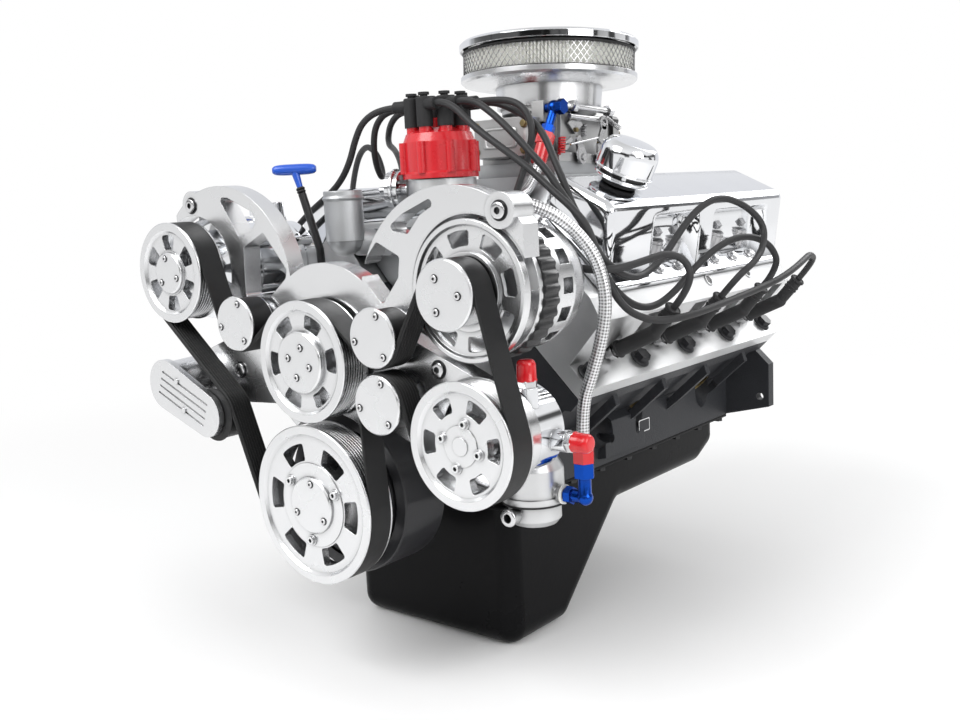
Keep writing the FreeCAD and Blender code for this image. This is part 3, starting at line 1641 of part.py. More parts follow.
def make_alternator_rotor():
    """Pulley, fan wheel and shaft of the alternator."""
    x, z = alternator_x, alternator_z
    tip = groove_radius(alternator_pulley_radius)
    front = belt_front_y - pulley_lip_width
    rim = [(8, front + 2), (tip, front + 2)]
    rim.extend(rib_profile(tip, -1))
    rim.extend([(tip, belt_rear_y + 0.2), (tip, belt_rear_y + 2), (8, belt_rear_y + 2)])
    pieces = [turned_y(rim, x, z)]
    depth = pulley_lip_width - 0.5
    pieces.append(cap_with_screws(x, z, alternator_pulley_radius, front, depth, 18, 3, 0, 2.6))
    wheel = turned_y(
        [(8, fan_front_y), (38, fan_front_y), (38, fan_front_y + 3), (fan_radius - 7, fan_front_y + 3),
         (fan_radius - 5, fan_front_y), (fan_radius - 1, fan_front_y), (fan_radius, fan_front_y + 1),
         (fan_radius, fan_front_y + 9), (fan_radius - 5, fan_front_y + 9), (fan_radius - 5, fan_front_y + 7),
         (8, fan_front_y + 7)],
        x,
        z,
    )
    openings = []
    for k in range(8):
        openings.append(sector_y(x, z, 43, 58, 45 * k + 10, 14, fan_front_y - 1, fan_front_y + 8, 3))
    wheel = wheel.cut(openings)
    pieces.append(wheel)
    pieces.append(bar_y(x, z, front + 2, alternator_rear_y + 8, 8.5))
    pieces.append(bar_y(x, z, stator_front_y + 4, stator_rear_y + 22, 44))
    return joined(pieces)


def make_alternator_housing():
    """Front and rear end castings, with slots in the rear one and a mounting ear."""
    x, z = alternator_x, alternator_z
    front = turned_y(
        [(9.2, pump_front_y - 5), (30, pump_front_y - 5), (66, pump_front_y - 2), (66, stator_front_y),
         (50, stator_front_y), (50, pump_front_y + 1), (9.2, pump_front_y)],
        x,
        z,
    )
    ear = link_y(x, z, 40, right_bolt_x, right_bolt_z, 15, pump_front_y, stator_front_y)
    ear = ear.cut(bar_y(x, z, pump_front_y - 1, stator_front_y + 1, 52))
    rear = turned_y(
        [(50, stator_rear_y), (65, stator_rear_y), (65, stator_rear_y + 30), (60, stator_rear_y + 50),
         (48, alternator_rear_y), (9.2, alternator_rear_y), (9.2, alternator_rear_y - 6),
         (42, alternator_rear_y - 6), (50, stator_rear_y + 48)],
        x,
        z,
    )
    slots = []
    for k in range(14):
        slots.append(
            sector_y(x, z, 52, 70, 360 / 14 * k, 7, stator_rear_y + 10, stator_rear_y + 26, 1.5)
        )
    return [front.fuse(ear), rear.cut(slots)]


def make_alternator_stator():
    """Laminated ring clamped between the two castings, with bolt lugs round it."""
    x, z = alternator_x, alternator_z
    ring = ring_y(x, z, stator_front_y, stator_rear_y, 67, 49)
    lugs = []
    for k in range(18):
        angle = math.radians(20 * k)
        lx = x + 66.5 * math.cos(angle)
        lz = z + 66.5 * math.sin(angle)
        lugs.append(bar_y(lx, lz, stator_front_y + 3, stator_rear_y - 3, 4))
    return ring.fuse(lugs)


def make_ac_compressor():
    """Compressor: clutch face, ribbed front head, barrel and rear head with two ports."""
    x, z = compressor_x, compressor_z
    radius = compressor_radius
    rear = compressor_rear_y
    front = bracket_front_y + 1
    body = turned_y(
        [(10, front), (34, front), (34, front + 8), (radius, front + 16), (radius, front + 50),
         (radius - 4, front + 54), (radius - 4, rear - 22), (radius - 8, rear - 16), (radius - 8, rear),
         (10, rear)],
        x,
        z,
    )
    pieces = [body]
    for k in range(6):
        angle = math.radians(60 * k + 30)
        px = x + (radius - 6) * math.cos(angle)
        pz = z + (radius - 6) * math.sin(angle)
        pieces.append(bar_y(px, pz, front + 20, rear - 8, 6.5))
    ear = link_y(x, z, 30, left_bolt_x, left_bolt_z, 15, pump_front_y, pump_front_y + 22)
    pieces.append(ear)
    for shift in (-16, 16):
        pieces.append(bar_z(x + shift, rear - 34, z + 40, z + radius + 16, 11))
    solid = joined(pieces)
    return solid.cut(bar_y(x, z, front - 1, pump_front_y + 40, 10))


def make_power_steering_pump():
    """Pump body behind its pulley, with a port on top and one on the side."""
    x, z = steering_x, steering_z
    radius = steering_pump_radius
    rear = steering_pump_rear_y
    body = turned_y(
        [(10, pump_front_y), (radius - 3, pump_front_y), (radius, pump_front_y + 3),
         (radius, rear - 10), (radius - 8, rear), (0, rear), (0, rear - 20), (10, rear - 20)],
        x,
        z,
    )
    port = rod(V(x + 26, steering_port_y, z), V(x + 26, steering_port_y, z + top_port_height), 11)
    branch = rod(V(x, side_port_y, z - 8), V(x + side_port_reach, side_port_y, z - 8), 11)
    solid = joined([body, port, branch])
    return solid.cut(bar_y(x, z, pump_front_y - 1, pump_front_y + 32, 10))


def fuel_inlet_elbow():
    """Middle of the carburettor's inlet elbow, before the carburettor is tilted."""
    return V(63, carb_centre_y - 78, carb_pad_z + 65)


def hose_fall():
    """Direction of the fuel line below the inlet elbow, before the tilt."""
    return V(-0.05, -0.39, -0.92).normalize()


def hose_top():
    """Mouth of the upper hose socket and the direction out of it, both as they stand tilted."""
    start = fuel_inlet_elbow()
    end = start + hose_fall() * inlet_line_length
    ends = [carb_tilted(Part.Vertex(spot)).Point for spot in (start, end)]
    return ends[1], (ends[1] - ends[0]).normalize()


def make_line_fittings():
    """Caps of the two pump ports, and the fittings at both ends of the fuel hose."""
    pieces = []
    x = steering_x + 26
    z0 = steering_z + top_port_height
    cap = hexagon(V(x, steering_port_y, z0), V(0, 0, 1), 19, 7)
    pieces.append(cap.fuse(bar_z(x, steering_port_y, z0 + 6, z0 + 24, 9.5)))
    start = V(steering_x + side_port_reach, side_port_y, steering_z - 8)
    cap = hexagon(start, V(1, 0, 0), 19, 7)
    pieces.append(cap.fuse(rod(start + V(6, 0, 0), start + V(24, 0, 0), 10)))
    low = V(elbow_x, fuel_pump_y, elbow_z)
    outlet = V(fuel_boss_x, fuel_pump_y, elbow_z)
    sweep = [rod(outlet, low, 7), Part.makeSphere(8.5, low), rod(low, low + V(0, 0, 22), 7)]
    sweep.append(hexagon(outlet + V(6, 0, 0), V(1, 0, 0), 17, 8))
    pieces.append(joined(sweep))
    pieces.append(hexagon(low + V(0, 0, 22), V(0, 0, 1), 20, 16))
    socket = hexagon(low + V(0, 0, 38), V(0, 0, 1), 21, 14)
    pieces.append(socket.fuse(bar_z(elbow_x, fuel_pump_y, elbow_z + 51, elbow_z + hose_start, 9.5)))
    knee = fuel_inlet_elbow()
    fall = hose_fall()
    inlet = [
        rod(V(fuel_inlet_boss_x, knee.y, knee.z), knee, 6),
        Part.makeSphere(9, knee),
        hexagon(knee + V(7, 0, 0), V(1, 0, 0), 17, 8),
        rod(knee, knee + fall * 36, 5.5),
        hexagon(knee + fall * 25, fall, 15, 11),
    ]
    pieces.append(carb_tilted(joined(inlet)))
    upper = hexagon(knee + fall * 36, fall, 20, 15)
    upper = upper.fuse(rod(knee + fall * 50, knee + fall * inlet_line_length, 9.5))
    pieces.append(carb_tilted(upper))
    return pieces


def make_fuel_pump():
    """Diaphragm pump on the side of the timing cover: flange, arm housing, body and bowl."""
    x, y = fuel_pump_x, fuel_pump_y
    radius = fuel_pump_radius
    body = turned_z(
        [(0, -36), (radius - 9, -36), (radius - 4, -30), (radius - 4, -12), (radius + 2, -12),
         (radius + 2, -4), (radius, -4), (radius, 26), (radius - 10, 44), (14, 50), (0, 50)],
        x,
        y,
    )
    arm = block(fuel_flange_x, x, y - 16, y + 16, 8, 44)
    flange = block(fuel_flange_x, fuel_flange_x + 10, y - 22, y + 22, 4, 60)
    mouth = V(x - 4, y - inlet_reach, -22)
    inlet = rod(V(x - 4, y, -22), mouth, inlet_bore_radius + 3)
    boss = rod(V(x + fuel_pump_radius - 8, y, elbow_z), V(fuel_boss_x, y, elbow_z), 9)
    solid = joined([body, arm, flange, boss, inlet])
    return solid.cut(rod(mouth + V(0, inlet_bore_depth, 0), mouth + V(0, -2, 0), inlet_bore_radius))


def make_oil_pump():
    """Gear pump on the block's front rail, with the pickup tube and strainer in the sump."""
    body = block(74, 110, -502, -474, -76, pan_rail_z)
    tube = rod(V(92, -488, -75), V(92, -488, -168), 8).fuse(Part.makeSphere(8, V(92, -488, -168)))
    tube = tube.fuse(rod(V(92, -488, -168), V(40, -470, -176), 8))
    strainer = turned_z([(0, -170), (20, -172), (34, -182), (34, -190), (0, -190)], 36, -469)
    return joined([body, tube, strainer])


# Oil pan

def pan_profile(inset):
    """Side view of the pan's well in (y, z): deep sump in front, shallow tray behind."""
    return [
        (sump_front_y + inset, pan_rail_z + 1),
        (sump_front_y + inset, sump_bottom_z + inset),
        (sump_rear_y - inset * 0.6, sump_bottom_z + inset),
        (sump_slope_end_y - inset * 0.6, pan_shallow_z + inset),
        (pan_rear_wall_y - inset, pan_shallow_z + inset),
        (pan_rear_y - inset, pan_rear_z + inset),
        (pan_rear_y - inset, pan_rail_z + 1),
    ]


def rounded_well(inset, corner):
    """Well of the pan with soft corners along its bottom and uprights."""
    solid = plate_x(pan_profile(inset), -sump_half_width + inset, sump_half_width - inset)
    chosen = []
    for edge in solid.Edges:
        box = edge.BoundBox
        on_top = box.ZMin > pan_rail_z
        if not on_top:
            chosen.append(edge)
    return solid.makeFillet(corner, chosen)


def make_oil_pan():
    outer = rounded_well(0, pan_corner)
    inner = rounded_well(sheet_wall, pan_corner - sheet_wall)
    rail = block(
        -skirt_half_width, skirt_half_width, pan_front_y, -bell_flange_thickness,
        pan_rail_z - pan_flange_thickness, pan_rail_z,
    )
    well = outer.fuse(rail).cut(inner)
    seal_notch = bar_y(0, 0, pan_rear_y - 2 * sheet_wall, 0, seal_housing_radius + 1)
    above = block(-skirt_half_width, skirt_half_width, pan_front_y, 0, pan_rail_z, pan_rail_z + 30)
    return well.cut([seal_notch, above])


# Manifold, thermostat, carburettor and air cleaner

def port_point(side, index):
    """Middle of an inlet port on the manifold's side."""
    return bank_point(side, 257, deck_inner_v - 5, bore_y(side, index) - valve_offset)


def make_intake_manifold():
    low_x = (head_base_u + deck_inner_v) / ROOT2 - 2
    high_x = (head_rail_u + head_rail_inner_v) / ROOT2 - 2
    low_z = (head_base_u - deck_inner_v) / ROOT2
    high_z = (head_rail_u - head_rail_inner_v) / ROOT2
    tub = plate_y(
        [
            (-low_x + 14, valley_wall_z),
            (low_x - 14, valley_wall_z),
            (low_x, low_z),
            (low_x + 24, low_z + 30),
            (low_x + 4, low_z + 38),
            (-low_x - 4, low_z + 38),
            (-low_x - 24, low_z + 30),
            (-low_x, low_z),
        ],
        manifold_front_y,
        manifold_rear_y,
    )
    pieces = [tub]
    for side in sides:
        flange = plate_y(
            [
                (side * low_x, low_z),
                (side * high_x, high_z - 4),
                (side * (high_x - 16), high_z - 2),
                (side * (low_x - 10), low_z + 14),
            ],
            manifold_front_y,
            manifold_rear_y,
        )
        pieces.append(flange)
        for k in cylinder_numbers:
            end = port_point(side, k)
            start = V(side * 40, carb_centre_y + (k - 1.5) * 46, 316)
            inward = V(-side * 22, 0, 4)
            pieces.append(rod(start, end + inward, runner_radius))
    plenum = block(-64, 64, carb_centre_y - 96, carb_centre_y + 96, 262, carb_pad_z - 14)
    plenum = plenum.makeFillet(16, edges_along(plenum, V(0, 0, 1)))
    pieces.append(plenum)
    pad = carb_tilted(block(-62, 62, carb_centre_y - 76, carb_centre_y + 76, carb_pad_z - 22, carb_pad_z))
    pieces.append(pad)
    reach = outlet_bolt_reach + outlet_bolt_edge
    bottom = outlet_z - outlet_half_height
    top = outlet_z + outlet_half_height
    outlet = block(outlet_x - reach, outlet_x + reach, outlet_face_y, manifold_front_y + 10, bottom, top)
    pieces.append(outlet)
    solid = joined(pieces)
    for side in sides:
        head_side = plate_y(
            [
                (side * (low_x + 1), low_z),
                (side * (high_x + 1), high_z),
                (side * (high_x + 120), high_z),
                (side * (high_x + 120), low_z - 40),
                (side * (low_x + 1), low_z - 40),
            ],
            -600,
            50,
        )
        solid = solid.cut(head_side)
    cutters = [bar_z(0, distributor_y, valley_wall_z - 2, 330, distributor_hole_radius)]
    cutters.append(block(-46, 46, carb_centre_y - 56, carb_centre_y + 56, 280, carb_pad_z + 20))
    cutters.append(bar_y(outlet_x, outlet_z, outlet_face_y - 1, manifold_front_y + 2, 13))
    return solid.cut(cutters)


def make_thermostat_housing():
    """Water outlet: a flange on the manifold with its bolts, an elbow and an upright neck with a bead."""
    reach = outlet_bolt_reach + outlet_bolt_edge
    bottom = outlet_z - outlet_half_height
    top = outlet_z + outlet_half_height
    flange = block(outlet_x - reach, outlet_x + reach, outlet_face_y - 9, outlet_face_y, bottom, top)
    flange = flange.makeFillet(outlet_half_height - 4, edges_along(flange, V(0, 1, 0)))
    knee = V(neck_x, neck_y, outlet_z + 8)
    elbow = rod(V(outlet_x, outlet_face_y - 8, outlet_z), knee, 16)
    neck = turned_z(
        [(0, 272), (23, 272), (23, neck_top_z - 12), (25, neck_top_z - 9), (23, neck_top_z - 6),
         (23, neck_top_z - 1), (22, neck_top_z), (0, neck_top_z)],
        neck_x,
        neck_y,
    )
    solid = joined([flange, elbow, Part.makeSphere(22.5, knee), neck])
    solid = solid.cut(bar_z(neck_x, neck_y, knee.z, neck_top_z + 1, 18.5))
    solid = solid.cut(rod(V(outlet_x, outlet_face_y + 1, outlet_z), knee, 12))
    pieces = [solid]
    for side in sides:
        seat = V(outlet_x + side * outlet_bolt_reach, outlet_face_y - 9, outlet_z)
        pieces.append(hexagon(seat, V(0, -1, 0), 12, 6))
    return pieces


def throttle_places():
    """Centres of the four throttle bores."""
    places = []
    for y in (carb_centre_y - 23, carb_centre_y + 23):
        for x in (-23, 23):
            places.append((x, y))
    return places


def make_carburettor():
    """Four-barrel carburettor: base plate, main body, metering blocks, bowls and air horn."""
    z = carb_pad_z
    top = z + carb_height
    y = carb_centre_y
    pieces = [block(-62, 62, y - 66, y + 66, z, z + 12)]
    pieces.append(block(-56, 56, y - 54, y + 54, z + 12, top - 16))
    horn = turned_z(
        [(0, top - 20), (50, top - 20), (air_horn_radius - 2, top - 12), (air_horn_radius - 2, top - 6),
         (air_horn_radius, top - 6), (air_horn_radius, top), (0, top)],
        0,
        y,
    )
    pieces.append(horn)
    for end in (-1, 1):
        y_block = y + end * 60
        pieces.append(block(-50, 50, y_block - 6, y_block + 6, z + 10, top - 22))
        near = y + end * 66
        far = y + end * bowl_reach
        bowl = block(-46, 46, min(near, far), max(near, far), z + 6, top - 24)
        bowl = bowl.makeFillet(9, edges_along(bowl, V(0, 0, 1)))
        pieces.append(bowl)
    knee = fuel_inlet_elbow()
    pieces.append(block(34, fuel_inlet_boss_x, knee.y - 8, knee.y + 8, top - 30, knee.z + 9))
    solid = joined(pieces)
    cutters = []
    for x, by in throttle_places():
        cutters.append(bar_z(x, by, z - 1, top + 1, throttle_bore_radius))
    cutters.append(bar_z(0, y, top - 14, top + 1, air_horn_radius - 8))
    for shift in (-23, 23):
        start = V(-80, y + shift, throttle_plane_z)
        cutters.append(rod(start, V(80, y + shift, throttle_plane_z), throttle_shaft_radius + fit))
    solid = solid.cut(cutters)
    return carb_tilted(solid)


def make_throttle(shift, lever_length):
    """Throttle shaft with two plates, and a lever outside the body."""
    y = carb_centre_y + shift
    z = throttle_plane_z
    pieces = [rod(V(-66, y, z), V(72, y, z), throttle_shaft_radius)]
    for x in (-23, 23):
        pieces.append(bar_z(x, y, z - 0.9, z + 0.9, throttle_bore_radius - fit))
    lever = link_x(y, z, 9, y - lever_length * 0.4, z + lever_length, 5, 66, 70)
    pieces.append(lever)
    return carb_tilted(joined(pieces))


def link_x(ay, az, ar, by, bz, br, x0, x1):
    """Plate round two circles, between two planes across X."""
    face = hull_outline(ay, az, ar, by, bz, br)
    face.rotate(V(0, 0, 0), V(0, 0, 1), 90)
    face.translate(V(x0, 0, 0))
    return face.extrude(V(x1 - x0, 0, 0))


def make_air_cleaner_base():
    """Pan of the air cleaner: rim, seat for the filter and a drop ring on the air horn."""
    y = carb_centre_y
    z = cleaner_base_z
    seat = carb_pad_z + carb_height
    wall = 1.6
    profile = [
        (air_horn_radius + press, seat - 5),
        (air_horn_radius + 4, seat - 5),
        (air_horn_radius + 6, z - 6),
        (cleaner_radius - 14, z - 2),
        (cleaner_radius - 3, z),
        (cleaner_radius, z + 3),
        (cleaner_radius, z + 9),
        (cleaner_radius - wall, z + 9),
        (cleaner_radius - wall, z + 4),
        (cleaner_radius - 14, z + 1),
        (air_horn_radius + 4 - wall, z - 3),
        (air_horn_radius - 6, z - 3),
        (air_horn_radius - 6, seat + 0.2),
        (air_horn_radius + press, seat + 0.2),
    ]
    return carb_tilted(turned_z(profile, 0, y))


def make_air_filter_element():
    """Pleated ring between two rubber seals."""
    y = carb_centre_y
    z0 = cleaner_base_z + 4.2
    z1 = lid_z - 2.0
    outer = cleaner_radius - 4
    inner = outer - filter_thickness
    low = z0 + 4
    high = z1 - 4
    ring = turned_z([(inner, low), (outer, low), (outer, high), (inner, high)], 0, y)
    seals = []
    for bottom, top in ((z0, low), (high, z1)):
        section = [(inner - 1, bottom), (outer + 1.5, bottom), (outer + 1.5, top), (inner - 1, top)]
        seals.append(turned_z(section, 0, y))
    return [carb_tilted(shape) for shape in [ring] + seals]


def make_air_cleaner_lid():
    """Crowned lid with a turned-down edge and a wing nut on its stud."""
    y = carb_centre_y
    z = lid_z
    wall = 1.4
    lid = turned_z(
        [(0, z + 3), (lid_radius - 22, z + 1.5), (lid_radius - 8, z - 2), (lid_radius - wall, z - 2),
         (lid_radius - wall, z - 4), (lid_radius, z - 4), (lid_radius, z + 4), (lid_radius - 3, z + 7),
         (lid_radius - 20, z + 6), (40, z + 8), (0, z + 8)],
        0,
        y,
    )
    nut = bar_z(0, y, z + 8, z + 16, 7)
    for side in sides:
        nut = nut.fuse(link_x(y + side * 4, z + 13, 4, y + side * 13, z + 18, 3, -1.5, 1.5))
    horn_floor = carb_pad_z + carb_height - 14
    stud = bar_z(0, y, horn_floor, z + 3.5, 3)
    reach = air_horn_radius - 9
    bridge = block(-reach, reach, y - 4, y + 4, horn_floor, horn_floor + 6)
    crown = turned_z([(0, z + 3), (lid_radius - 22, z + 1.5), (lid_radius - 22, z + 9), (0, z + 9)], 0, y)
    return [carb_tilted(shape) for shape in (lid, nut, stud.fuse(bridge).cut(crown))]


# Ignition

def make_distributor_body():
    """Shaft housing through the valley, a seat on the block's end wall and the bowl under the cap."""
    y = distributor_y
    z = distributor_cap_z
    shaft = distributor_shaft_radius
    seat = valley_wall_z
    return turned_z(
        [(0, valley_floor_z + 2), (shaft, valley_floor_z + 2), (shaft, seat), (24, seat), (24, seat + 8),
         (shaft + 4, seat + 12), (shaft + 6, z - 40), (34, z - 26), (distributor_cap_radius - 2, z - 20),
         (distributor_cap_radius - 2, z - 1), (distributor_cap_radius - 8, z - 1),
         (distributor_cap_radius - 8, z - 14), (0, z - 14)],
        0,
        y,
    )


def make_distributor_cap():
    """Fluted cap with eight outer towers and one in the middle."""
    y = distributor_y
    z = distributor_cap_z
    top = z + distributor_cap_height
    radius = distributor_cap_radius
    shell = turned_z(
        [(radius - 4, z), (radius + 1, z), (radius + 1, z + 6), (radius - 1, z + 8), (radius - 1, top - 16),
         (radius - 5, top - 6), (24, top), (0, top), (0, top - 6), (radius - 12, top - 10),
         (radius - 6, top - 18), (radius - 6, z + 10), (radius - 4, z + 8)],
        0,
        y,
    )
    pieces = [shell]
    for k in range(8):
        angle = math.radians(45 * k + 12)
        rx = radius * math.cos(angle)
        ry = y + radius * math.sin(angle)
        pieces.append(bar_z(rx, ry, z + 6, top - 16, 5))
        tx = tower_circle * math.cos(angle)
        ty = y + tower_circle * math.sin(angle)
        pieces.append(bar_z(tx, ty, top - 8, top + tower_height, tower_radius))
    pieces.append(bar_z(0, y, top - 4, top + tower_height, tower_radius))
    return joined(pieces)


def make_distributor_rotor():
    """Rotor arm on the distributor's shaft, inside the cap."""
    y = distributor_y
    z = distributor_cap_z
    hub = bar_z(0, y, z - 14 + fit, z + 18, 12)
    arm = block(-26, 4, y - 6, y + 6, z + 10, z + 18)
    return hub.fuse(arm)


def make_vacuum_advance():
    """Round canister on the side of the distributor, with its hose stub."""
    axis = V(-0.94, -0.34, 0)
    start = V(0, distributor_y, distributor_cap_z - 11) + axis * (distributor_cap_radius - 2 + press)
    arm = rod(start, start + axis * 8, 7)
    can = Part.makeCylinder(22, 16, start + axis * 8, axis)
    rim = Part.makeCylinder(25, 3, start + axis * 14, axis)
    stub = rod(start + axis * 24, start + axis * 38, 4)
    return joined([arm, can, rim, stub])


# Dipstick

def dipstick_points():
    return [V(-126, -548, 20), V(-126, -546, 150), V(-140, -541, 262), V(-165, -541, 330)]


def make_dipstick_tube():
    points = dipstick_points()
    pieces = []
    for start, end in zip(points, points[1:]):
        pieces.append(rod(start, end, dipstick_tube_radius))
        pieces.append(Part.makeSphere(dipstick_tube_radius, end))
    tube = joined(pieces[:-1])
    start, end = points[-2], points[-1]
    axis = (end - start).normalize()
    tube = tube.cut(rod(start + axis * 4, end + axis * 9, dipstick_radius + fit))
    foot = block(-132, -100, -556, -540, 8, 26)
    cover_side = block(-120, -90, -560, -530, 0, 40).common(
        plate_y([(-104, -30), (-60, -30), (-60, 70), (-108, 60)], -562, -500)
    )
    return tube.fuse(foot.cut(cover_side))


def make_dipstick():
    """Blade in its tube with a T handle."""
    points = dipstick_points()
    axis = (points[-1] - points[-2]).normalize()
    top = points[-1] + axis * 1.0
    blade = rod(points[-2] + axis * 8, top + axis * 4, dipstick_radius)
    neck = rod(top, top + axis * 24, 5.2)
    turn = math.radians(dipstick_handle_turn)
    cross = V(math.cos(turn), math.sin(turn), 0)
    handle = rod(top + axis * 24 - cross * 21, top + axis * 24 + cross * 21, 6)
    return joined([blade, neck, handle])


# Leads and hose

# Each route: tower of the cap, heading of its boot, cylinder, and the points between the two boots
left_lead_routes = [
    (0, 0, 0, [
        V(78, -462, 424), V(106, -461, 421), V(126, -462, 408), V(134, -463, 385), V(128, -465, 360),
        V(121, -470, 336), V(123, -488, 313), V(139, -505, 290), V(166, -515, 268), V(197, -523, 251),
        V(227, -528, 240), V(254, -522, 236), V(270, -500, 238), V(277, -468, 243), V(284, -437, 248),
        V(298, -420, 239),
    ]),
    (6, -12, 1, [
        V(52, -508, 424), V(90, -510, 391), V(130, -511, 365), V(154, -513, 350), V(175, -513, 334),
        V(197, -514, 316), V(217, -513, 300), V(235, -513, 281), V(243, -512, 257), V(254, -500, 237),
        V(260, -472, 223), V(257, -433, 226), V(258, -396, 242), V(261, -361, 271), V(267, -327, 294),
        V(275, -290, 303), V(287, -249, 289), V(298, -226, 265), V(305, -246, 239), V(308, -280, 224),
    ]),
    (7, -8.4, 3, [
        V(74, -492, 424), V(103, -494, 406), V(132, -496, 382), V(154, -497, 361), V(177, -498, 339),
        V(189, -498, 322), V(206, -498, 300), V(224, -498, 277), V(234, -499, 250), V(246, -494, 220),
        V(258, -484, 193), V(273, -463, 179), V(289, -438, 177), V(299, -404, 180), V(303, -362, 184),
        V(305, -317, 188), V(309, -272, 193), V(315, -229, 200), V(317, -187, 209), V(314, -146, 218),
        V(309, -114, 223),
    ]),
    (1, 0, 2, [
        V(64, -442, 424), V(88, -444, 415), V(110, -447, 405), V(129, -450, 393), V(150, -462, 377),
        V(173, -477, 347), V(189, -483, 322), V(198, -484, 300), V(213, -484, 280), V(222, -484, 254),
        V(234, -482, 228), V(245, -471, 205), V(252, -444, 189), V(256, -413, 188), V(261, -380, 201),
        V(267, -346, 224), V(273, -308, 243), V(281, -268, 254), V(288, -230, 252), V(299, -208, 239),
    ]),
]
right_lead_routes = [
    (5, 186, 0, [
        V(-64, -502, 424), V(-88, -505, 412), V(-102, -506, 391), V(-112, -507, 366), V(-130, -507, 343),
        V(-156, -507, 325), V(-186, -506, 310), V(-216, -504, 292), V(-243, -501, 272), V(-266, -491, 255),
        V(-284, -470, 245), V(-298, -452, 238),
    ]),
    (4, 180, 1, [
        V(-76, -475, 424), V(-94, -477, 409), V(-99, -478, 385), V(-103, -471, 360), V(-112, -453, 344),
        V(-124, -438, 353), V(-140, -430, 376), V(-162, -424, 389), V(-188, -414, 380), V(-216, -398, 356),
        V(-243, -380, 325), V(-266, -362, 292), V(-286, -346, 260), V(-299, -336, 236),
    ]),
    (3, 180, 2, [
        V(-74, -451, 424), V(-97, -446, 413), V(-116, -433, 397), V(-137, -410, 388), V(-162, -378, 386),
        V(-190, -342, 383), V(-216, -306, 370), V(-241, -275, 345), V(-263, -250, 313), V(-282, -233, 280),
        V(-297, -224, 248),
    ]),
    (2, 150, 3, [
        V(-50, -412.6, 424), V(-77, -388, 416), V(-104, -356, 408), V(-133, -318, 404), V(-162, -274, 402),
        V(-192, -230, 396), V(-220, -190, 380), V(-246, -158, 352), V(-268, -134, 318), V(-286, -118, 282),
        V(-298, -111, 248),
    ]),
]


def make_leads(side, routes):
    pieces = []
    for tower, heading, index, middle in routes:
        start = arm_end(tower, heading)
        end = lead_end(side, index)
        first = start + arm_axis(heading) * (middle[0] - start).Length
        points = [start, first] + middle[1:] + [end + boot_axis(side) * lead_exit, end]
        pieces.append(cord_tube(points, lead_diameter, "lead"))
    return pieces


hose_route = [
    V(238, -540, 98), V(252, -539, 134), V(264, -537, 172), V(269, -535, 210), V(262, -537, 247),
    V(247, -550, 277), V(230, -573, 300), V(203, -595, 312), V(168, -600, 318), V(133, -583, 321),
    V(104, -553, 320), V(84, -515, 318), V(73, -476, 315), V(65, -437, 312), V(60, -400, 312),
]


def make_fuel_hose():
    top, outward = hose_top()
    start = V(elbow_x, fuel_pump_y, elbow_z + hose_start)
    points = [start] + hose_route + [top + outward * hose_exit, top]
    return cord_tube(points, hose_diameter, "fuel hose")


# Files

def write(name, shape):
    """One STEP file for one named piece, or for a group of like pieces."""
    solids = shape if isinstance(shape, list) else [shape]
    flat = []
    for item in solids:
        flat.extend(item.Solids)
    target = flat[0] if len(flat) == 1 else Part.makeCompound(flat)
    bad = [k for k, solid in enumerate(flat) if not solid.isValid()]
    volume = round(sum(solid.Volume for solid in flat) / 1000)
    print(name, "solids", len(flat), "volume", volume, "cm3", "invalid", bad)
    target.exportStep(os.path.join("parts", name + ".step"))


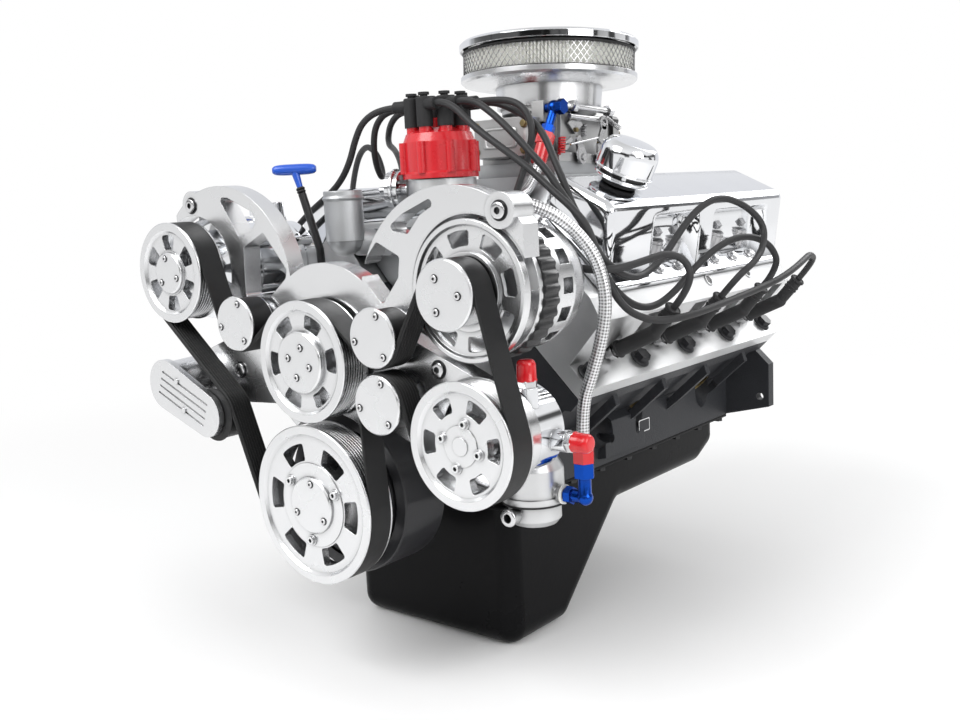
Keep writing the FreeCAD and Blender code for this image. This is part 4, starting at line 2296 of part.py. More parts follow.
def main():
    os.makedirs("parts", exist_ok=True)
    rear = bracket_front_y
    write("engine_block", make_engine_block())
    write("core_plugs", make_core_plugs())
    write("main_bearing_caps", make_main_bearing_caps())
    write("crankshaft", make_crankshaft())
    write("connecting_rods", make_connecting_rods())
    write("pistons", make_pistons())
    write("camshaft", make_camshaft())
    write("lifters_and_pushrods", make_lifters_and_pushrods())
    write("rockers_valves_springs", make_rockers_valves_and_springs())
    write("left_cylinder_head", make_cylinder_head(1))
    write("right_cylinder_head", make_cylinder_head(-1))
    write("head_gaskets", make_head_gaskets())
    write("head_bolts", make_head_bolts())
    write("spark_plugs", make_spark_plugs())
    write("lead_boots", make_lead_boots())
    write("left_valve_cover", make_valve_cover(1))
    write("right_valve_cover", make_valve_cover(-1))
    write("breather_cap", make_breather_cap())
    write("timing_chain", make_timing_chain())
    write("timing_cover", make_timing_cover())
    write("water_pump_housing", make_water_pump_housing())
    write("harmonic_balancer", make_harmonic_balancer())
    write("crank_pulley", make_crank_pulley())
    write("water_pump_pulley", make_water_pump_pulley())
    write("power_steering_pulley", make_power_steering_pulley())
    write("ac_pulley", make_compressor_pulley())
    write("left_idler", idler(left_idler_x, left_idler_z, idler_radius, rear - 4))
    write("right_upper_idler", idler(upper_idler_x, upper_idler_z, idler_radius, rear - 4))
    write("right_lower_idler", idler(lower_idler_x, lower_idler_z, idler_radius, rear - 4))
    write("tensioner_arm", make_tensioner_arm())
    write("tensioner_pulley", make_tensioner_pulley())
    write("serpentine_belt", make_serpentine_belt())
    write("accessory_bracket", make_accessory_bracket())
    write("bracket_and_pan_bolts", make_bracket_bolts())
    write("alternator_rotor", make_alternator_rotor())
    write("alternator_housing", make_alternator_housing())
    write("alternator_stator", make_alternator_stator())
    write("ac_compressor", make_ac_compressor())
    write("power_steering_pump", make_power_steering_pump())
    write("line_fittings", make_line_fittings())
    write("fuel_pump", make_fuel_pump())
    write("oil_pump", make_oil_pump())
    write("oil_pan", make_oil_pan())
    write("intake_manifold", make_intake_manifold())
    write("thermostat_housing", make_thermostat_housing())
    write("carburettor", make_carburettor())
    write("primary_throttle", make_throttle(-23, 22))
    write("secondary_throttle", make_throttle(23, 16))
    write("air_cleaner_base", make_air_cleaner_base())
    write("air_filter_element", make_air_filter_element())
    write("air_cleaner_lid", make_air_cleaner_lid())
    write("distributor_body", make_distributor_body())
    write("distributor_cap", make_distributor_cap())
    write("distributor_rotor", make_distributor_rotor())
    write("vacuum_advance", make_vacuum_advance())
    write("dipstick_tube", make_dipstick_tube())
    write("dipstick", make_dipstick())
    write("left_plug_leads", make_leads(1, left_lead_routes))
    write("right_plug_leads", make_leads(-1, right_lead_routes))
    write("fuel_hose", make_fuel_hose())


main()
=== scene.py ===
"""Looks of a dressed V8 engine: finishes of the castings, chrome and rubber, the cords and the fine pieces.

Everything is in metres. The origin is on the crank's axis at the rear face of the block, +Z is up, the belt
drive is towards -Y and the driver's bank towards +X.
"""

import json
import math

import bmesh
import bpy
import numpy as np
from mathutils import Matrix, Vector

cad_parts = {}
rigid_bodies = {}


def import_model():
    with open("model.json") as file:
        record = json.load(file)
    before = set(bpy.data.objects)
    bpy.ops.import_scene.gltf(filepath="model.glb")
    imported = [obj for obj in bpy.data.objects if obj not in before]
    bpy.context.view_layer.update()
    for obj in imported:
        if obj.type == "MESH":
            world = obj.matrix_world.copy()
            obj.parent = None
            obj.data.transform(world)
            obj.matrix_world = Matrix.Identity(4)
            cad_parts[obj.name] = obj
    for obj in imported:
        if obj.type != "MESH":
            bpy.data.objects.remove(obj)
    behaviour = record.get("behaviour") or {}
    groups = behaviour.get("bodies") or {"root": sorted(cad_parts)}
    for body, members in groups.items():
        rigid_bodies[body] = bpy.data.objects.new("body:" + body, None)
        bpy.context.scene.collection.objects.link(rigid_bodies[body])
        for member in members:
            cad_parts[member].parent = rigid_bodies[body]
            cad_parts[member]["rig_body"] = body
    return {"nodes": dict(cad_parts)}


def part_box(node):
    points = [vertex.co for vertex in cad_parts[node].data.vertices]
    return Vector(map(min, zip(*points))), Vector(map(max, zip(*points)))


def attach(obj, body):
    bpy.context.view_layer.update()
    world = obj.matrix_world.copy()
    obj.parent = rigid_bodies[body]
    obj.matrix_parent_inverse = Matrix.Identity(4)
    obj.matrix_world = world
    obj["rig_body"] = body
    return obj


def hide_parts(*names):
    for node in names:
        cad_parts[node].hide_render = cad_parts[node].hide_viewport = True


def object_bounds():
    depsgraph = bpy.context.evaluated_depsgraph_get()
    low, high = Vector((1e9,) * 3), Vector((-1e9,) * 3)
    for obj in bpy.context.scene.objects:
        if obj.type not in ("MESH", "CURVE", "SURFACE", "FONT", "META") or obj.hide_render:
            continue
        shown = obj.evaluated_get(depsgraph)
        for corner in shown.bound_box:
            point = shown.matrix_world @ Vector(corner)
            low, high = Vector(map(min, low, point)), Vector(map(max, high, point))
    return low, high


bl_info = {
    "name": "Dressed V8 engine",
    "version": (1, 0, 0),
    "blender": (4, 5, 0),
    "location": "View3D > Sidebar > Engine",
    "description": "Finishes, cords and fine pieces of a dressed V8 engine",
    "category": "Object",
}

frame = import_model()
cad_box = [list(corner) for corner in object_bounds()]

MM = 0.001
ROOT2 = math.sqrt(2)
weld_distance = 0.00002
front_way = (0, -1, 0)


# Sizes and colours that a user would change

def length_property(name, description, default):
    return bpy.props.FloatProperty(name=name, description=description, default=default, unit="LENGTH")


def count_property(name, description, default):
    return bpy.props.IntProperty(name=name, description=description, default=default)


def colour_property(name, description, default):
    return bpy.props.FloatVectorProperty(name=name, description=description, subtype="COLOR", default=default)


def power_property(name, description, default):
    return bpy.props.FloatProperty(name=name, description=description, default=default, unit="POWER")


class EngineSizes(bpy.types.PropertyGroup):
    """Sizes of the cords and of the fine pieces."""

    lead_diameter: length_property("Lead diameter", "Outer diameter of an ignition lead", 0.008)
    hose_diameter: length_property("Hose diameter", "Outer diameter of the braided hose", 0.013)
    braid_carriers: count_property("Braid carriers", "Bundles of wire in each direction of the braid", 12)
    braid_relief: length_property("Braid relief", "Height of one bundle of the braid", 0.0004)
    pleats: count_property("Pleats", "Folds of the filter paper", 150)
    screen_wires: count_property("Screen wires", "Wires in each direction of the filter's screen", 84)
    screen_wire: length_property("Screen wire", "Thickness of a wire of the screen", 0.0008)


class EngineColours(bpy.types.PropertyGroup):
    """Colours of the painted, moulded and anodised pieces."""

    block_paint: colour_property("Block", "Enamel of the block", (0.022, 0.023, 0.026))
    pan_paint: colour_property("Oil pan", "Paint of the oil pan", (0.004, 0.004, 0.0045))
    cap_red: colour_property("Cap", "Plastic of the distributor cap", (0.62, 0.012, 0.02))
    fitting_red: colour_property("Red fittings", "Anodised sockets and caps", (0.62, 0.004, 0.010))
    fitting_blue: colour_property("Blue fittings", "Anodised elbows and nuts", (0.01, 0.07, 0.42))
    handle_blue: colour_property("Dipstick handle", "Plastic of the handle", (0.01, 0.09, 0.55))
    paper: colour_property("Filter paper", "Pleated paper", (0.94, 0.94, 0.90))
    rubber: colour_property("Rubber", "Belt, boots and leads", (0.022, 0.022, 0.023))


class StudioLight(bpy.types.PropertyGroup):
    """Strengths of the lamps and the world."""

    key: power_property("Key", "Lamp over the belt end", 62.0)
    fill: power_property("Fill", "Lamp on the driver's side", 36.0)
    back: power_property("Back", "Lamp behind the engine", 30.0)
    world: bpy.props.FloatProperty(name="World", description="Strength of the plain surround", default=0.62)


# Node groups

def group_socket(group, name, direction, kind="NodeSocketFloat", value=None):
    socket = group.interface.new_socket(name=name, in_out=direction, socket_type=kind)
    if value is not None:
        socket.default_value = value
    return socket


def linked(tree, kind, inputs=(), **settings):
    """A node with its settings, whose inputs take a value or another node's socket."""
    node = tree.nodes.new(kind)
    for key, value in settings.items():
        setattr(node, key, value)
    for key, value in dict(inputs).items():
        if isinstance(value, bpy.types.NodeSocket):
            tree.links.new(value, node.inputs[key])
        else:
            node.inputs[key].default_value = value
    return node


def new_group(name, inputs, outputs):
    group = bpy.data.node_groups.new(name, "ShaderNodeTree")
    group_socket(group, "Vector", "INPUT", "NodeSocketVector")
    for key, value in inputs:
        group_socket(group, key, "INPUT", value=value)
    for key in outputs:
        group_socket(group, key, "OUTPUT")
    start = group.nodes.new("NodeGroupInput")
    end = group.nodes.new("NodeGroupOutput")
    return group, start, end


def math_node(tree, operation, first, second=0.0):
    return linked(tree, "ShaderNodeMath", {0: first, 1: second}, operation=operation).outputs[0]


def noise(tree, vector, scale, detail, roughness=0.5):
    values = {"Vector": vector, "Scale": scale, "Detail": detail, "Roughness": roughness}
    return linked(tree, "ShaderNodeTexNoise", values).outputs["Fac"]


def ranged(tree, value, low, high, to_low=0.0, to_high=1.0, kind="LINEAR"):
    """The place of a value between low and high, as a place between to_low and to_high."""
    values = {"Value": value, "From Min": low, "From Max": high, "To Min": to_low, "To Max": to_high}
    return linked(tree, "ShaderNodeMapRange", values, interpolation_type=kind).outputs["Result"]


def colour_mix(tree, factor, first, second):
    """Colour between two ends, each of them a colour or another node's socket."""
    values = {"Factor": factor, "A": first, "B": second}
    return linked(tree, "ShaderNodeMix", values, data_type="RGBA").outputs["Result"]


def cast_grain_group():
    """Sand-cast skin: fine grain as height, and slow clouds as shade."""
    scales = [("Scale", 900.0), ("Cloud Scale", 14.0)]
    group, start, end = new_group("cast_grain", scales, ["Height", "Shade"])
    vector = start.outputs["Vector"]
    scale = start.outputs["Scale"]
    grain = noise(group, vector, scale, 4.0)
    pits = linked(group, "ShaderNodeTexVoronoi", {"Vector": vector, "Scale": scale})
    cloud = noise(group, vector, start.outputs["Cloud Scale"], 5.0, 0.6)
    group.links.new(math_node(group, "MULTIPLY", grain, pits.outputs["Distance"]), end.inputs["Height"])
    group.links.new(cloud, end.inputs["Shade"])
    return group


def polish_marks_group():
    """Polished metal: hairlines drawn along one direction, and faint smears."""
    group, start, end = new_group("polish_marks", [("Scale", 60.0), ("Stretch", 40.0)], ["Height", "Smear"])
    vector = start.outputs["Vector"]
    apart = linked(group, "ShaderNodeSeparateXYZ", {0: vector})
    along = math_node(group, "MULTIPLY", apart.outputs["Z"], start.outputs["Stretch"])
    across = math_node(group, "ADD", apart.outputs["X"], apart.outputs["Y"])
    lines = linked(group, "ShaderNodeCombineXYZ", {0: across, 1: 0.0, 2: along})
    group.links.new(noise(group, lines.outputs[0], start.outputs["Scale"], 6.0), end.inputs["Height"])
    group.links.new(noise(group, vector, 22.0, 3.0), end.inputs["Smear"])
    return group


def rubber_skin_group():
    """Moulded rubber: a fine grain and a dusty bloom."""
    group, start, end = new_group("rubber_skin", [("Scale", 1400.0)], ["Height", "Bloom"])
    vector = start.outputs["Vector"]
    group.links.new(noise(group, vector, start.outputs["Scale"], 3.0), end.inputs["Height"])
    group.links.new(noise(group, vector, 26.0, 6.0, 0.7), end.inputs["Bloom"])
    return group


def braid_wires_group():
    """Bundles of a braid on a tube's UV map, whose Y is the length in metres.

    Two helical sine waves cross. Their product is high on a bundle and low in the gap between bundles, and
    Shade follows it, to paint shade into the gaps.
    """
    group, start, end = new_group("braid_wires", [("Bundles", 6.0), ("Rows", 150.0)], ["Height", "Shade"])
    apart = linked(group, "ShaderNodeSeparateXYZ", {0: start.outputs["Vector"]})
    around = math_node(group, "MULTIPLY", apart.outputs["X"], start.outputs["Bundles"])
    down = math_node(group, "MULTIPLY", apart.outputs["Y"], start.outputs["Rows"])
    waves = []
    for operation in ("ADD", "SUBTRACT"):
        phase = math_node(group, operation, around, down)
        waves.append(math_node(group, "SINE", math_node(group, "MULTIPLY", phase, 2 * math.pi)))
    height = math_node(group, "MULTIPLY", *waves)
    group.links.new(height, end.inputs["Height"])
    group.links.new(ranged(group, height, -0.75, 0.35), end.inputs["Shade"])
    return group


def painted_crease_shade_group():
    """Painted shade where surfaces meet, from ambient occlusion: 0 in a crease and 1 in the open."""
    group, start, end = new_group("painted_crease_shade", [("Reach", 0.006), ("Depth", 1.0)], ["Open"])
    near = linked(group, "ShaderNodeAmbientOcclusion", {"Distance": start.outputs["Reach"]}, samples=6)
    closed = math_node(group, "SUBTRACT", 1.0, near.outputs["AO"])
    shade = math_node(group, "MULTIPLY", closed, start.outputs["Depth"])
    clear = linked(group, "ShaderNodeClamp", {"Value": math_node(group, "SUBTRACT", 1.0, shade)})
    group.links.new(clear.outputs[0], end.inputs["Open"])
    return group


groups = {}


def place_group(tree, name, vector, **values):
    node = tree.nodes.new("ShaderNodeGroup")
    node.node_tree = groups[name]
    tree.links.new(vector, node.inputs["Vector"])
    for key, value in values.items():
        node.inputs[key.replace("_", " ")].default_value = value
    return node


# Materials

def start_material(name):
    """A material with its Principled shader, its tree and Object coordinates."""
    material = bpy.data.materials.new(name)
    material.use_nodes = True
    tree = material.node_tree
    shader = tree.nodes["Principled BSDF"]
    place = tree.nodes.new("ShaderNodeTexCoord")
    return material, tree, shader, place.outputs["Object"]


def shade_between(tree, factor, painted_recess_shade, light):
    """Colour that runs from dark to light with a mask."""
    return colour_mix(tree, factor, (*painted_recess_shade, 1), (*light, 1))


def bumped(tree, shader, height, strength, distance, edge=0.0):
    """Bump on the shader's normal, over edges softened by a small radius."""
    bump = linked(tree, "ShaderNodeBump", {"Height": height, "Strength": strength, "Distance": distance})
    if edge > 0:
        soft = linked(tree, "ShaderNodeBevel", {"Radius": edge}, samples=4)
        tree.links.new(soft.outputs["Normal"], bump.inputs["Normal"])
    tree.links.new(bump.outputs["Normal"], shader.inputs["Normal"])


def tinted(colour, factor):
    return tuple(min(1.0, c * factor) for c in colour)


def with_painted_crease_shade(tree, place, colour, reach, depth):
    """The colour with painted shade: darkened to near black in creases and corners."""
    near = place_group(tree, "painted_crease_shade", place, Reach=reach, Depth=depth)
    # Painted shade: near black where ambient occlusion finds a crease.
    return colour_mix(tree, near.outputs["Open"], (0.02, 0.02, 0.022, 1), colour)


def skinned(name, group, mask, colour, tints, gloss, bump, inputs, crease_painted_shade=None, **scales):
    """A material whose colour, roughness and bump follow one group.

    tints are the factors of the colour at both ends of the mask, gloss the lowest roughness and its spread,
    bump its strength, distance and softened edge, and the crease pair the reach and depth of painted shade in
    corners.
    """
    material, tree, shader, place = start_material(name)
    skin = place_group(tree, group, place, **scales)
    seen = skin.outputs[mask]
    shade = shade_between(tree, seen, *[tinted(colour, factor) for factor in tints])
    # Painted shade: the colour darkens in creases and corners.
    if crease_painted_shade:
        shade = with_painted_crease_shade(tree, place, shade, *crease_painted_shade)
    roughness = ranged(tree, seen, 0.3, 0.7, gloss[0], sum(gloss))
    tree.links.new(shade, shader.inputs["Base Color"])
    tree.links.new(roughness, shader.inputs["Roughness"])
    for key, value in inputs.items():
        shader.inputs[key].default_value = value
    bumped(tree, shader, skin.outputs["Height"], *bump)
    return material


def polished_metal(name, colour, roughness, hair=0.02, edge=0.0008, spread=0.05):
    """Machined and polished metal: faint hairlines and smears that change its gloss."""
    bump = (hair, 0.0004, edge)
    # The last pair is the reach and depth of painted shade in creases.
    return skinned(name, "polish_marks", "Smear", colour, (0.93, 1.0), (roughness, spread), bump,
                   {"Metallic": 1.0}, (0.007, 1.0))


def cast_metal(name, colour, roughness, grain=0.25):
    """Cast metal: sandy skin with slow clouds."""
    bump = (grain, 0.0006, 0.0012)
    # The last pair is the reach and depth of painted shade in creases.
    return skinned(name, "cast_grain", "Shade", colour, (0.8, 1.08), (roughness, 0.12), bump,
                   {"Metallic": 1.0}, (0.014, 0.9), Scale=700.0)


def painted_casting(name, colour, roughness, grain, coat, edge=0.0014, scale=520.0, specular=0.22):
    """Paint over a casting or a pressing: the skin shows through, with a thin gloss on top."""
    inputs = {"Specular IOR Level": specular, "Coat Weight": coat, "Coat Roughness": 0.12}
    return skinned(name, "cast_grain", "Shade", colour, (0.75, 1.5), (roughness, 0.1), (grain, 0.0008, edge),
                   inputs, Scale=scale, Cloud_Scale=9.0)


def rubber(name, colour, roughness, grain=0.12, scale=1400.0):
    """Moulded rubber under a dusty bloom."""
    bump = (grain, 0.0003, 0.0006)
    return skinned(name, "rubber_skin", "Bloom", colour, (0.7, 1.3), (roughness, 0.14), bump,
                   {"Specular IOR Level": 0.3}, Scale=scale)


def moulded_plastic(name, colour, roughness):
    """Plastic with a clear gloss on top."""
    bump = (0.06, 0.0003, 0.0006)
    return skinned(name, "rubber_skin", "Bloom", colour, (0.88, 1.1), (roughness, 0.08), bump,
                   {"Coat Weight": 0.35, "Coat Roughness": 0.08}, Scale=420.0)


def braided_wire(name):
    """Bright wire braid on the hose's UV map: the bundles are bright, and the gaps between them are painted
    dark as shade.
    """
    material, tree, shader, _ = start_material(name)
    place = tree.nodes.new("ShaderNodeUVMap")
    wires = place_group(tree, "braid_wires", place.outputs["UV"])
    shader.inputs["Metallic"].default_value = 1.0
    shader.inputs["Roughness"].default_value = 0.3
    # Painted shade: the colour falls to dark grey in the gaps between bundles.
    shade = shade_between(tree, wires.outputs["Shade"], (0.17, 0.17, 0.172), (0.80, 0.80, 0.81))
    tree.links.new(shade, shader.inputs["Base Color"])
    bumped(tree, shader, wires.outputs["Height"], 0.6, 0.0003)
    return material


def pleated_paper(name, colour):
    material, tree, shader, place = start_material(name)
    skin = place_group(tree, "rubber_skin", place, Scale=900.0)
    shade = shade_between(tree, skin.outputs["Bloom"], tinted(colour, 0.9), colour)
    tree.links.new(shade, shader.inputs["Base Color"])
    shader.inputs["Roughness"].default_value = 0.85
    bumped(tree, shader, skin.outputs["Height"], 0.3, 0.0003)
    return material


finishes = {}


def make_finishes(colours):
    finishes.update({
        "chrome": polished_metal("chrome", (0.86, 0.87, 0.89), 0.04, hair=0.0, spread=0.03, edge=0.0014),
        "polished": polished_metal("polished_alloy", (0.80, 0.805, 0.815), 0.2, hair=0.05, spread=0.1),
        "bright_cast": cast_metal("bright_cast_alloy", (0.70, 0.705, 0.71), 0.3, grain=0.12),
        "head_cast": cast_metal("head_alloy", (0.78, 0.785, 0.79), 0.34, grain=0.14),
        "dull_cast": cast_metal("manifold_alloy", (0.52, 0.53, 0.54), 0.42, grain=0.3),
        "carb_cast": cast_metal("carburettor_alloy", (0.66, 0.66, 0.66), 0.3, grain=0.18),
        "steel": polished_metal("machined_steel", (0.48, 0.48, 0.49), 0.26, hair=0.12),
        "bright_steel": polished_metal("plated_steel", (0.72, 0.72, 0.73), 0.2, hair=0.08, edge=0.0005),
        "iron": cast_metal("bare_iron", (0.16, 0.16, 0.165), 0.5),
        "brass": polished_metal("pressed_brass", (0.30, 0.24, 0.12), 0.42, hair=0.15),
        "block": painted_casting("block_enamel", colours.block_paint[:], 0.42, 0.5, 0.05),
        "pan": painted_casting("pan_enamel", colours.pan_paint[:], 0.26, 0.1, 0.02, edge=0.003, scale=160.0,
                               specular=0.07),
        "black_oxide": painted_casting("black_oxide", (0.016, 0.016, 0.018), 0.34, 0.15, 0.3, edge=0.0006),
        "lacquer": painted_casting("black_lacquer", (0.012, 0.012, 0.013), 0.36, 0.3, 0.4),
        "rubber": rubber("moulded_rubber", colours.rubber[:], 0.5),
        "belt": rubber("belt_rubber", tinted(colours.rubber[:], 0.5), 0.38, grain=0.3, scale=2200.0),
        "lead": rubber("silicone_jacket", tinted(colours.rubber[:], 1.3), 0.42, grain=0.06),
        "black_plastic": moulded_plastic("black_plastic", (0.018, 0.018, 0.019), 0.35),
        "cap_red": moulded_plastic("red_plastic", colours.cap_red[:], 0.24),
        "red": moulded_plastic("red_cap_plastic", colours.fitting_red[:], 0.2),
        "blue": polished_metal("blue_anodised", colours.fitting_blue[:], 0.24, hair=0.05),
        "handle_blue": moulded_plastic("blue_plastic", colours.handle_blue[:], 0.3),
        "braid": braided_wire("wire_braid"),
        "paper": pleated_paper("filter_paper", colours.paper[:]),
    })


# The carried-over nodes by finish; a node that pieces below stand for has none
node_finish = {
    "chrome": ["air_cleaner_lid", "vacuum_advance", "power_steering_pump", "ac_compressor"],
    "polished": [
        "accessory_bracket", "crank_pulley", "water_pump_pulley", "power_steering_pulley", "ac_pulley",
        "left_idler", "right_upper_idler", "right_lower_idler", "tensioner_arm", "alternator_rotor",
        "alternator_housing", "air_cleaner_base",
    ],
    "bright_cast": ["water_pump_housing", "timing_cover", "fuel_pump", "distributor_body"],
    "head_cast": ["left_cylinder_head", "right_cylinder_head", "pistons"],
    "dull_cast": ["intake_manifold", "thermostat_housing"],
    "carb_cast": ["carburettor"],
    "steel": [
        "crankshaft", "connecting_rods", "camshaft", "lifters_and_pushrods", "rockers_valves_springs",
        "head_gaskets", "timing_chain",
    ],
    "bright_steel": ["spark_plugs", "primary_throttle", "secondary_throttle"],
    "iron": ["main_bearing_caps", "oil_pump"],
    "brass": ["core_plugs"],
    "block": ["engine_block"],
    "pan": ["oil_pan"],
    "black_oxide": ["head_bolts", "harmonic_balancer"],
    "lacquer": ["dipstick_tube"],
    "rubber": ["lead_boots"],
    "belt": ["serpentine_belt", "tensioner_pulley"],
    "black_plastic": ["distributor_rotor"],
    "cap_red": ["distributor_cap"],
}


# Meshes

def new_piece(name, points, faces, finish, body, smooth=True):
    """A mesh object at the origin, with its place in its points."""
    mesh = bpy.data.meshes.new(name)
    mesh.from_pydata(np.asarray(points, float).reshape(-1, 3).tolist(), [], [list(face) for face in faces])
    mesh.validate()
    mesh.polygons.foreach_set("use_smooth", np.full(len(mesh.polygons), smooth))
    piece = bpy.data.objects.new(name, mesh)
    bpy.context.scene.collection.objects.link(piece)
    mesh.materials.append(finishes[finish])
    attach(piece, body)
    return piece


def grid_faces(rows, columns, wrap_rows=False, wrap_columns=False):
    """Quads of a grid of points given row by row, closed round either way if asked."""
    r = np.arange(rows if wrap_rows else rows - 1)
    c = np.arange(columns if wrap_columns else columns - 1)
    row, column = np.meshgrid(r, c, indexing="ij")
    below = (row + 1) % rows
    right = (column + 1) % columns
    quads = [row * columns + column, row * columns + right, below * columns + right, below * columns + column]
    return np.stack([q.ravel() for q in quads], axis=1)


def smooth_by_angle(piece, degrees=35):
    """Flat across sharp edges and smooth elsewhere."""
    piece.data.set_sharp_from_angle(angle=math.radians(degrees))


def spline_line(name, points):
    """Points along the NURBS line of a route, as Blender evaluates the curve."""
    curve = route_curve(name + "_line", points, 0.0)
    piece = bpy.data.objects.new(name + "_line", curve)
    bpy.context.scene.collection.objects.link(piece)
    bpy.context.view_layer.update()
    mesh = bpy.data.meshes.new_from_object(piece.evaluated_get(bpy.context.evaluated_depsgraph_get()))
    line = np.empty(len(mesh.vertices) * 3)
    mesh.vertices.foreach_get("co", line)
    bpy.data.objects.remove(piece)
    bpy.data.curves.remove(curve)
    bpy.data.meshes.remove(mesh)
    return line.reshape(-1, 3)


def route_curve(name, points, radius):
    """One open NURBS spline with the route's points as its control points."""
    curve = bpy.data.curves.new(name, "CURVE")
    curve.dimensions = "3D"
    curve.resolution_u = 10
    curve.bevel_depth = radius
    curve.bevel_resolution = 5
    curve.use_fill_caps = radius > 0
    spline = curve.splines.new("NURBS")
    spline.points.add(len(points) - 1)
    flat = np.ones((len(points), 4))
    flat[:, :3] = points
    spline.points.foreach_set("co", flat.ravel())
    spline.order_u = 3
    spline.use_endpoint_u = True
    return curve


def even_line(line, step):
    """The line's points set again at an even step along it."""
    gaps = np.linalg.norm(np.diff(line, axis=0), axis=1)
    along = np.concatenate([[0], np.cumsum(gaps)])
    places = np.linspace(0, along[-1], max(2, int(round(along[-1] / step)) + 1))
    return np.stack([np.interp(places, along, line[:, k]) for k in range(3)], axis=1), places


def carried_frames(line):
    """Two directions square to the line at each point, carried along it without twisting."""
    tangents = np.gradient(line, axis=0)
    tangents /= np.linalg.norm(tangents, axis=1)[:, None]
    side = np.cross(tangents[0], (0.3, 0.2, 0.9))
    sides = []
    for tangent in tangents:
        side = side - tangent * (side @ tangent)
        side = side / np.linalg.norm(side)
        sides.append(side)
    sides = np.array(sides)
    return sides, np.cross(tangents, sides)


def island_pieces(node, choose):
    """Copies of a CAD node's separate solids as pieces, one for each finish that choose gives.

    choose gets the low and high corner of a solid, and gives None for one that another piece stands for.
    The pieces stand for the node.
    """
    source = frame["nodes"][node]
    body = source["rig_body"]
    mesh = source.data.copy()
    count = len(mesh.vertices)
    points = np.empty(count * 3)
    mesh.vertices.foreach_get("co", points)
    points = points.reshape(-1, 3)
    corners = np.array([list(face.vertices) for face in mesh.polygons])
    _, first, same = np.unique(np.round(points, 6), axis=0, return_index=True, return_inverse=True)
    same = same.ravel()
    label = np.arange(len(first))
    joined = same[corners]
    while True:
        low = label[joined].min(axis=1)
        before = label.copy()
        for k in range(joined.shape[1]):
            np.minimum.at(label, joined[:, k], low)
        label = label[label]
        if np.array_equal(before, label):
            break
    bpy.data.meshes.remove(mesh)
    face_label = label[joined[:, 0]]
    by_finish = {}
    for value in np.unique(face_label):
        faces = joined[face_label == value]
        cloud = points[first[np.unique(faces)]]
        by_finish.setdefault(choose(cloud.min(0), cloud.max(0)), []).append(faces)
    made = []
    by_finish.pop(None, None)
    for finish, parts in by_finish.items():
        faces = np.concatenate(parts)
        used, faces = np.unique(faces, return_inverse=True)
        piece = new_piece(f"{node}_{finish}", points[first[used]], faces.reshape(-1, 3), finish, body)
        smooth_by_angle(piece, 30)
        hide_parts(node)
        made.append(piece)
    return made


def rounded_line(points, cuts, steps=6):
    """A line of points with each inner corner replaced by a quadratic curve that starts cut before it."""
    points = np.asarray(points, float)
    share = np.linspace(0, 1, steps)[:, None]
    out = [points[:1]]
    for before, corner, after, cut in zip(points, points[1:], points[2:], cuts):
        start = corner + unit(before - corner) * cut
        end = corner + unit(after - corner) * cut
        out.append((1 - share) ** 2 * start + 2 * share * (1 - share) * corner + share ** 2 * end)
    out.append(points[-1:])
    return np.concatenate(out)


def smooth_step(value, low, high):
    """0 below low, 1 above high, and a smooth rise between them."""
    share = np.clip((value - low) / (high - low), 0, 1)
    return share * share * (3 - 2 * share)


def between(value, rise, fall):
    """0, then 1 from a rise to a fall, each with its start and end, and 0 again."""
    return smooth_step(value, *rise) * (1 - smooth_step(value, *fall))


def placed(points, origin, axis, turn=0.0):
    """Points about +Z set on an origin with their +Z along an axis."""
    rotation = Vector(axis).to_track_quat("Z", "Y").to_matrix() @ Matrix.Rotation(turn, 3, "Z")
    return np.asarray(points, float) @ np.array(rotation).T + np.asarray(origin, float)


def turned_piece(section, steps=96):
    """Points and faces of a section of (radius, height) turned about +Z; a radius of 0 closes the pole."""
    section = np.asarray(section, float)
    angle = np.linspace(0, 2 * math.pi, steps, endpoint=False)
    points = np.stack([section[:, :1] * np.cos(angle), section[:, :1] * np.sin(angle),
                       np.repeat(section[:, 1:], steps, axis=1)], axis=-1)
    return points.reshape(-1, 3), grid_faces(len(section), steps, wrap_columns=True)


def stood(shape, origin, axis, turn=0.0):
    """Points and faces of a shape about +Z, set on an origin with their +Z along an axis."""
    points, faces = shape
    return placed(points, origin, axis, turn), faces


def hex_head(across, height, washer=0.0):
    """Points and faces of a hexagon head with a chamfered top, on a round washer if it has one."""
    radius = across / math.sqrt(3)
    section = [(0.0, 0.0), (radius, 0.0), (radius, height * 0.86), (radius * 0.86, height), (0.0, height)]
    head = turned_piece(section, 6)
    if washer <= 0:
        return head
    low = height * 0.16
    high = height * 0.3
    rim = [(0.0, 0.0), (washer, 0.0), (washer, low), (radius * 0.9, high), (0.0, high)]
    return gathered([head, turned_piece(rim, 28)])


def flat_section(inner, outer, low, high):
    """A section of (radius, height) between two radii and two heights."""
    return [(inner, low), (outer, low), (outer, high), (inner, high)]


def rounded_section(inner, outer, low, high):
    """A section of (radius, height) between two radii and two heights, round on the outside."""
    turn = np.linspace(-math.pi / 2, math.pi / 2, 7)
    middle = (low + high) / 2
    half = (high - low) / 2
    bulge = [(outer - half + half * math.cos(a), middle + half * math.sin(a)) for a in turn]
    return [(inner, low), *bulge, (inner, high)]


def ring(section, origin, axis, steps=48):
    """A section of (radius, height), closed and turned about an axis through a place."""
    return stood(turned_piece([*section, section[0]], steps), origin, axis)


def tube_skin(line, radius, around):
    """Rings of points about a line; radius has one row for each ring, of one value or one for each point."""
    sides, ups = carried_frames(line)
    angle = np.linspace(0, 2 * math.pi, around, endpoint=False)[None, :, None]
    circle = np.cos(angle) * sides[:, None] + np.sin(angle) * ups[:, None]
    return line[:, None] + circle * radius[..., None]


def end_rings(count, around):
    """Faces over the first and last ring of a tube."""
    return [list(range(around))[::-1], list(range((count - 1) * around, count * around))]


def swept(line, radius, around=14):
    """Points and faces of a round bar along a line; radius is one value or one for each point."""
    line = np.asarray(line, float)
    skin = tube_skin(line, np.broadcast_to(radius, len(line))[:, None], around)
    faces = grid_faces(len(line), around, wrap_columns=True).tolist()
    return skin.reshape(-1, 3), faces + end_rings(len(line), around)


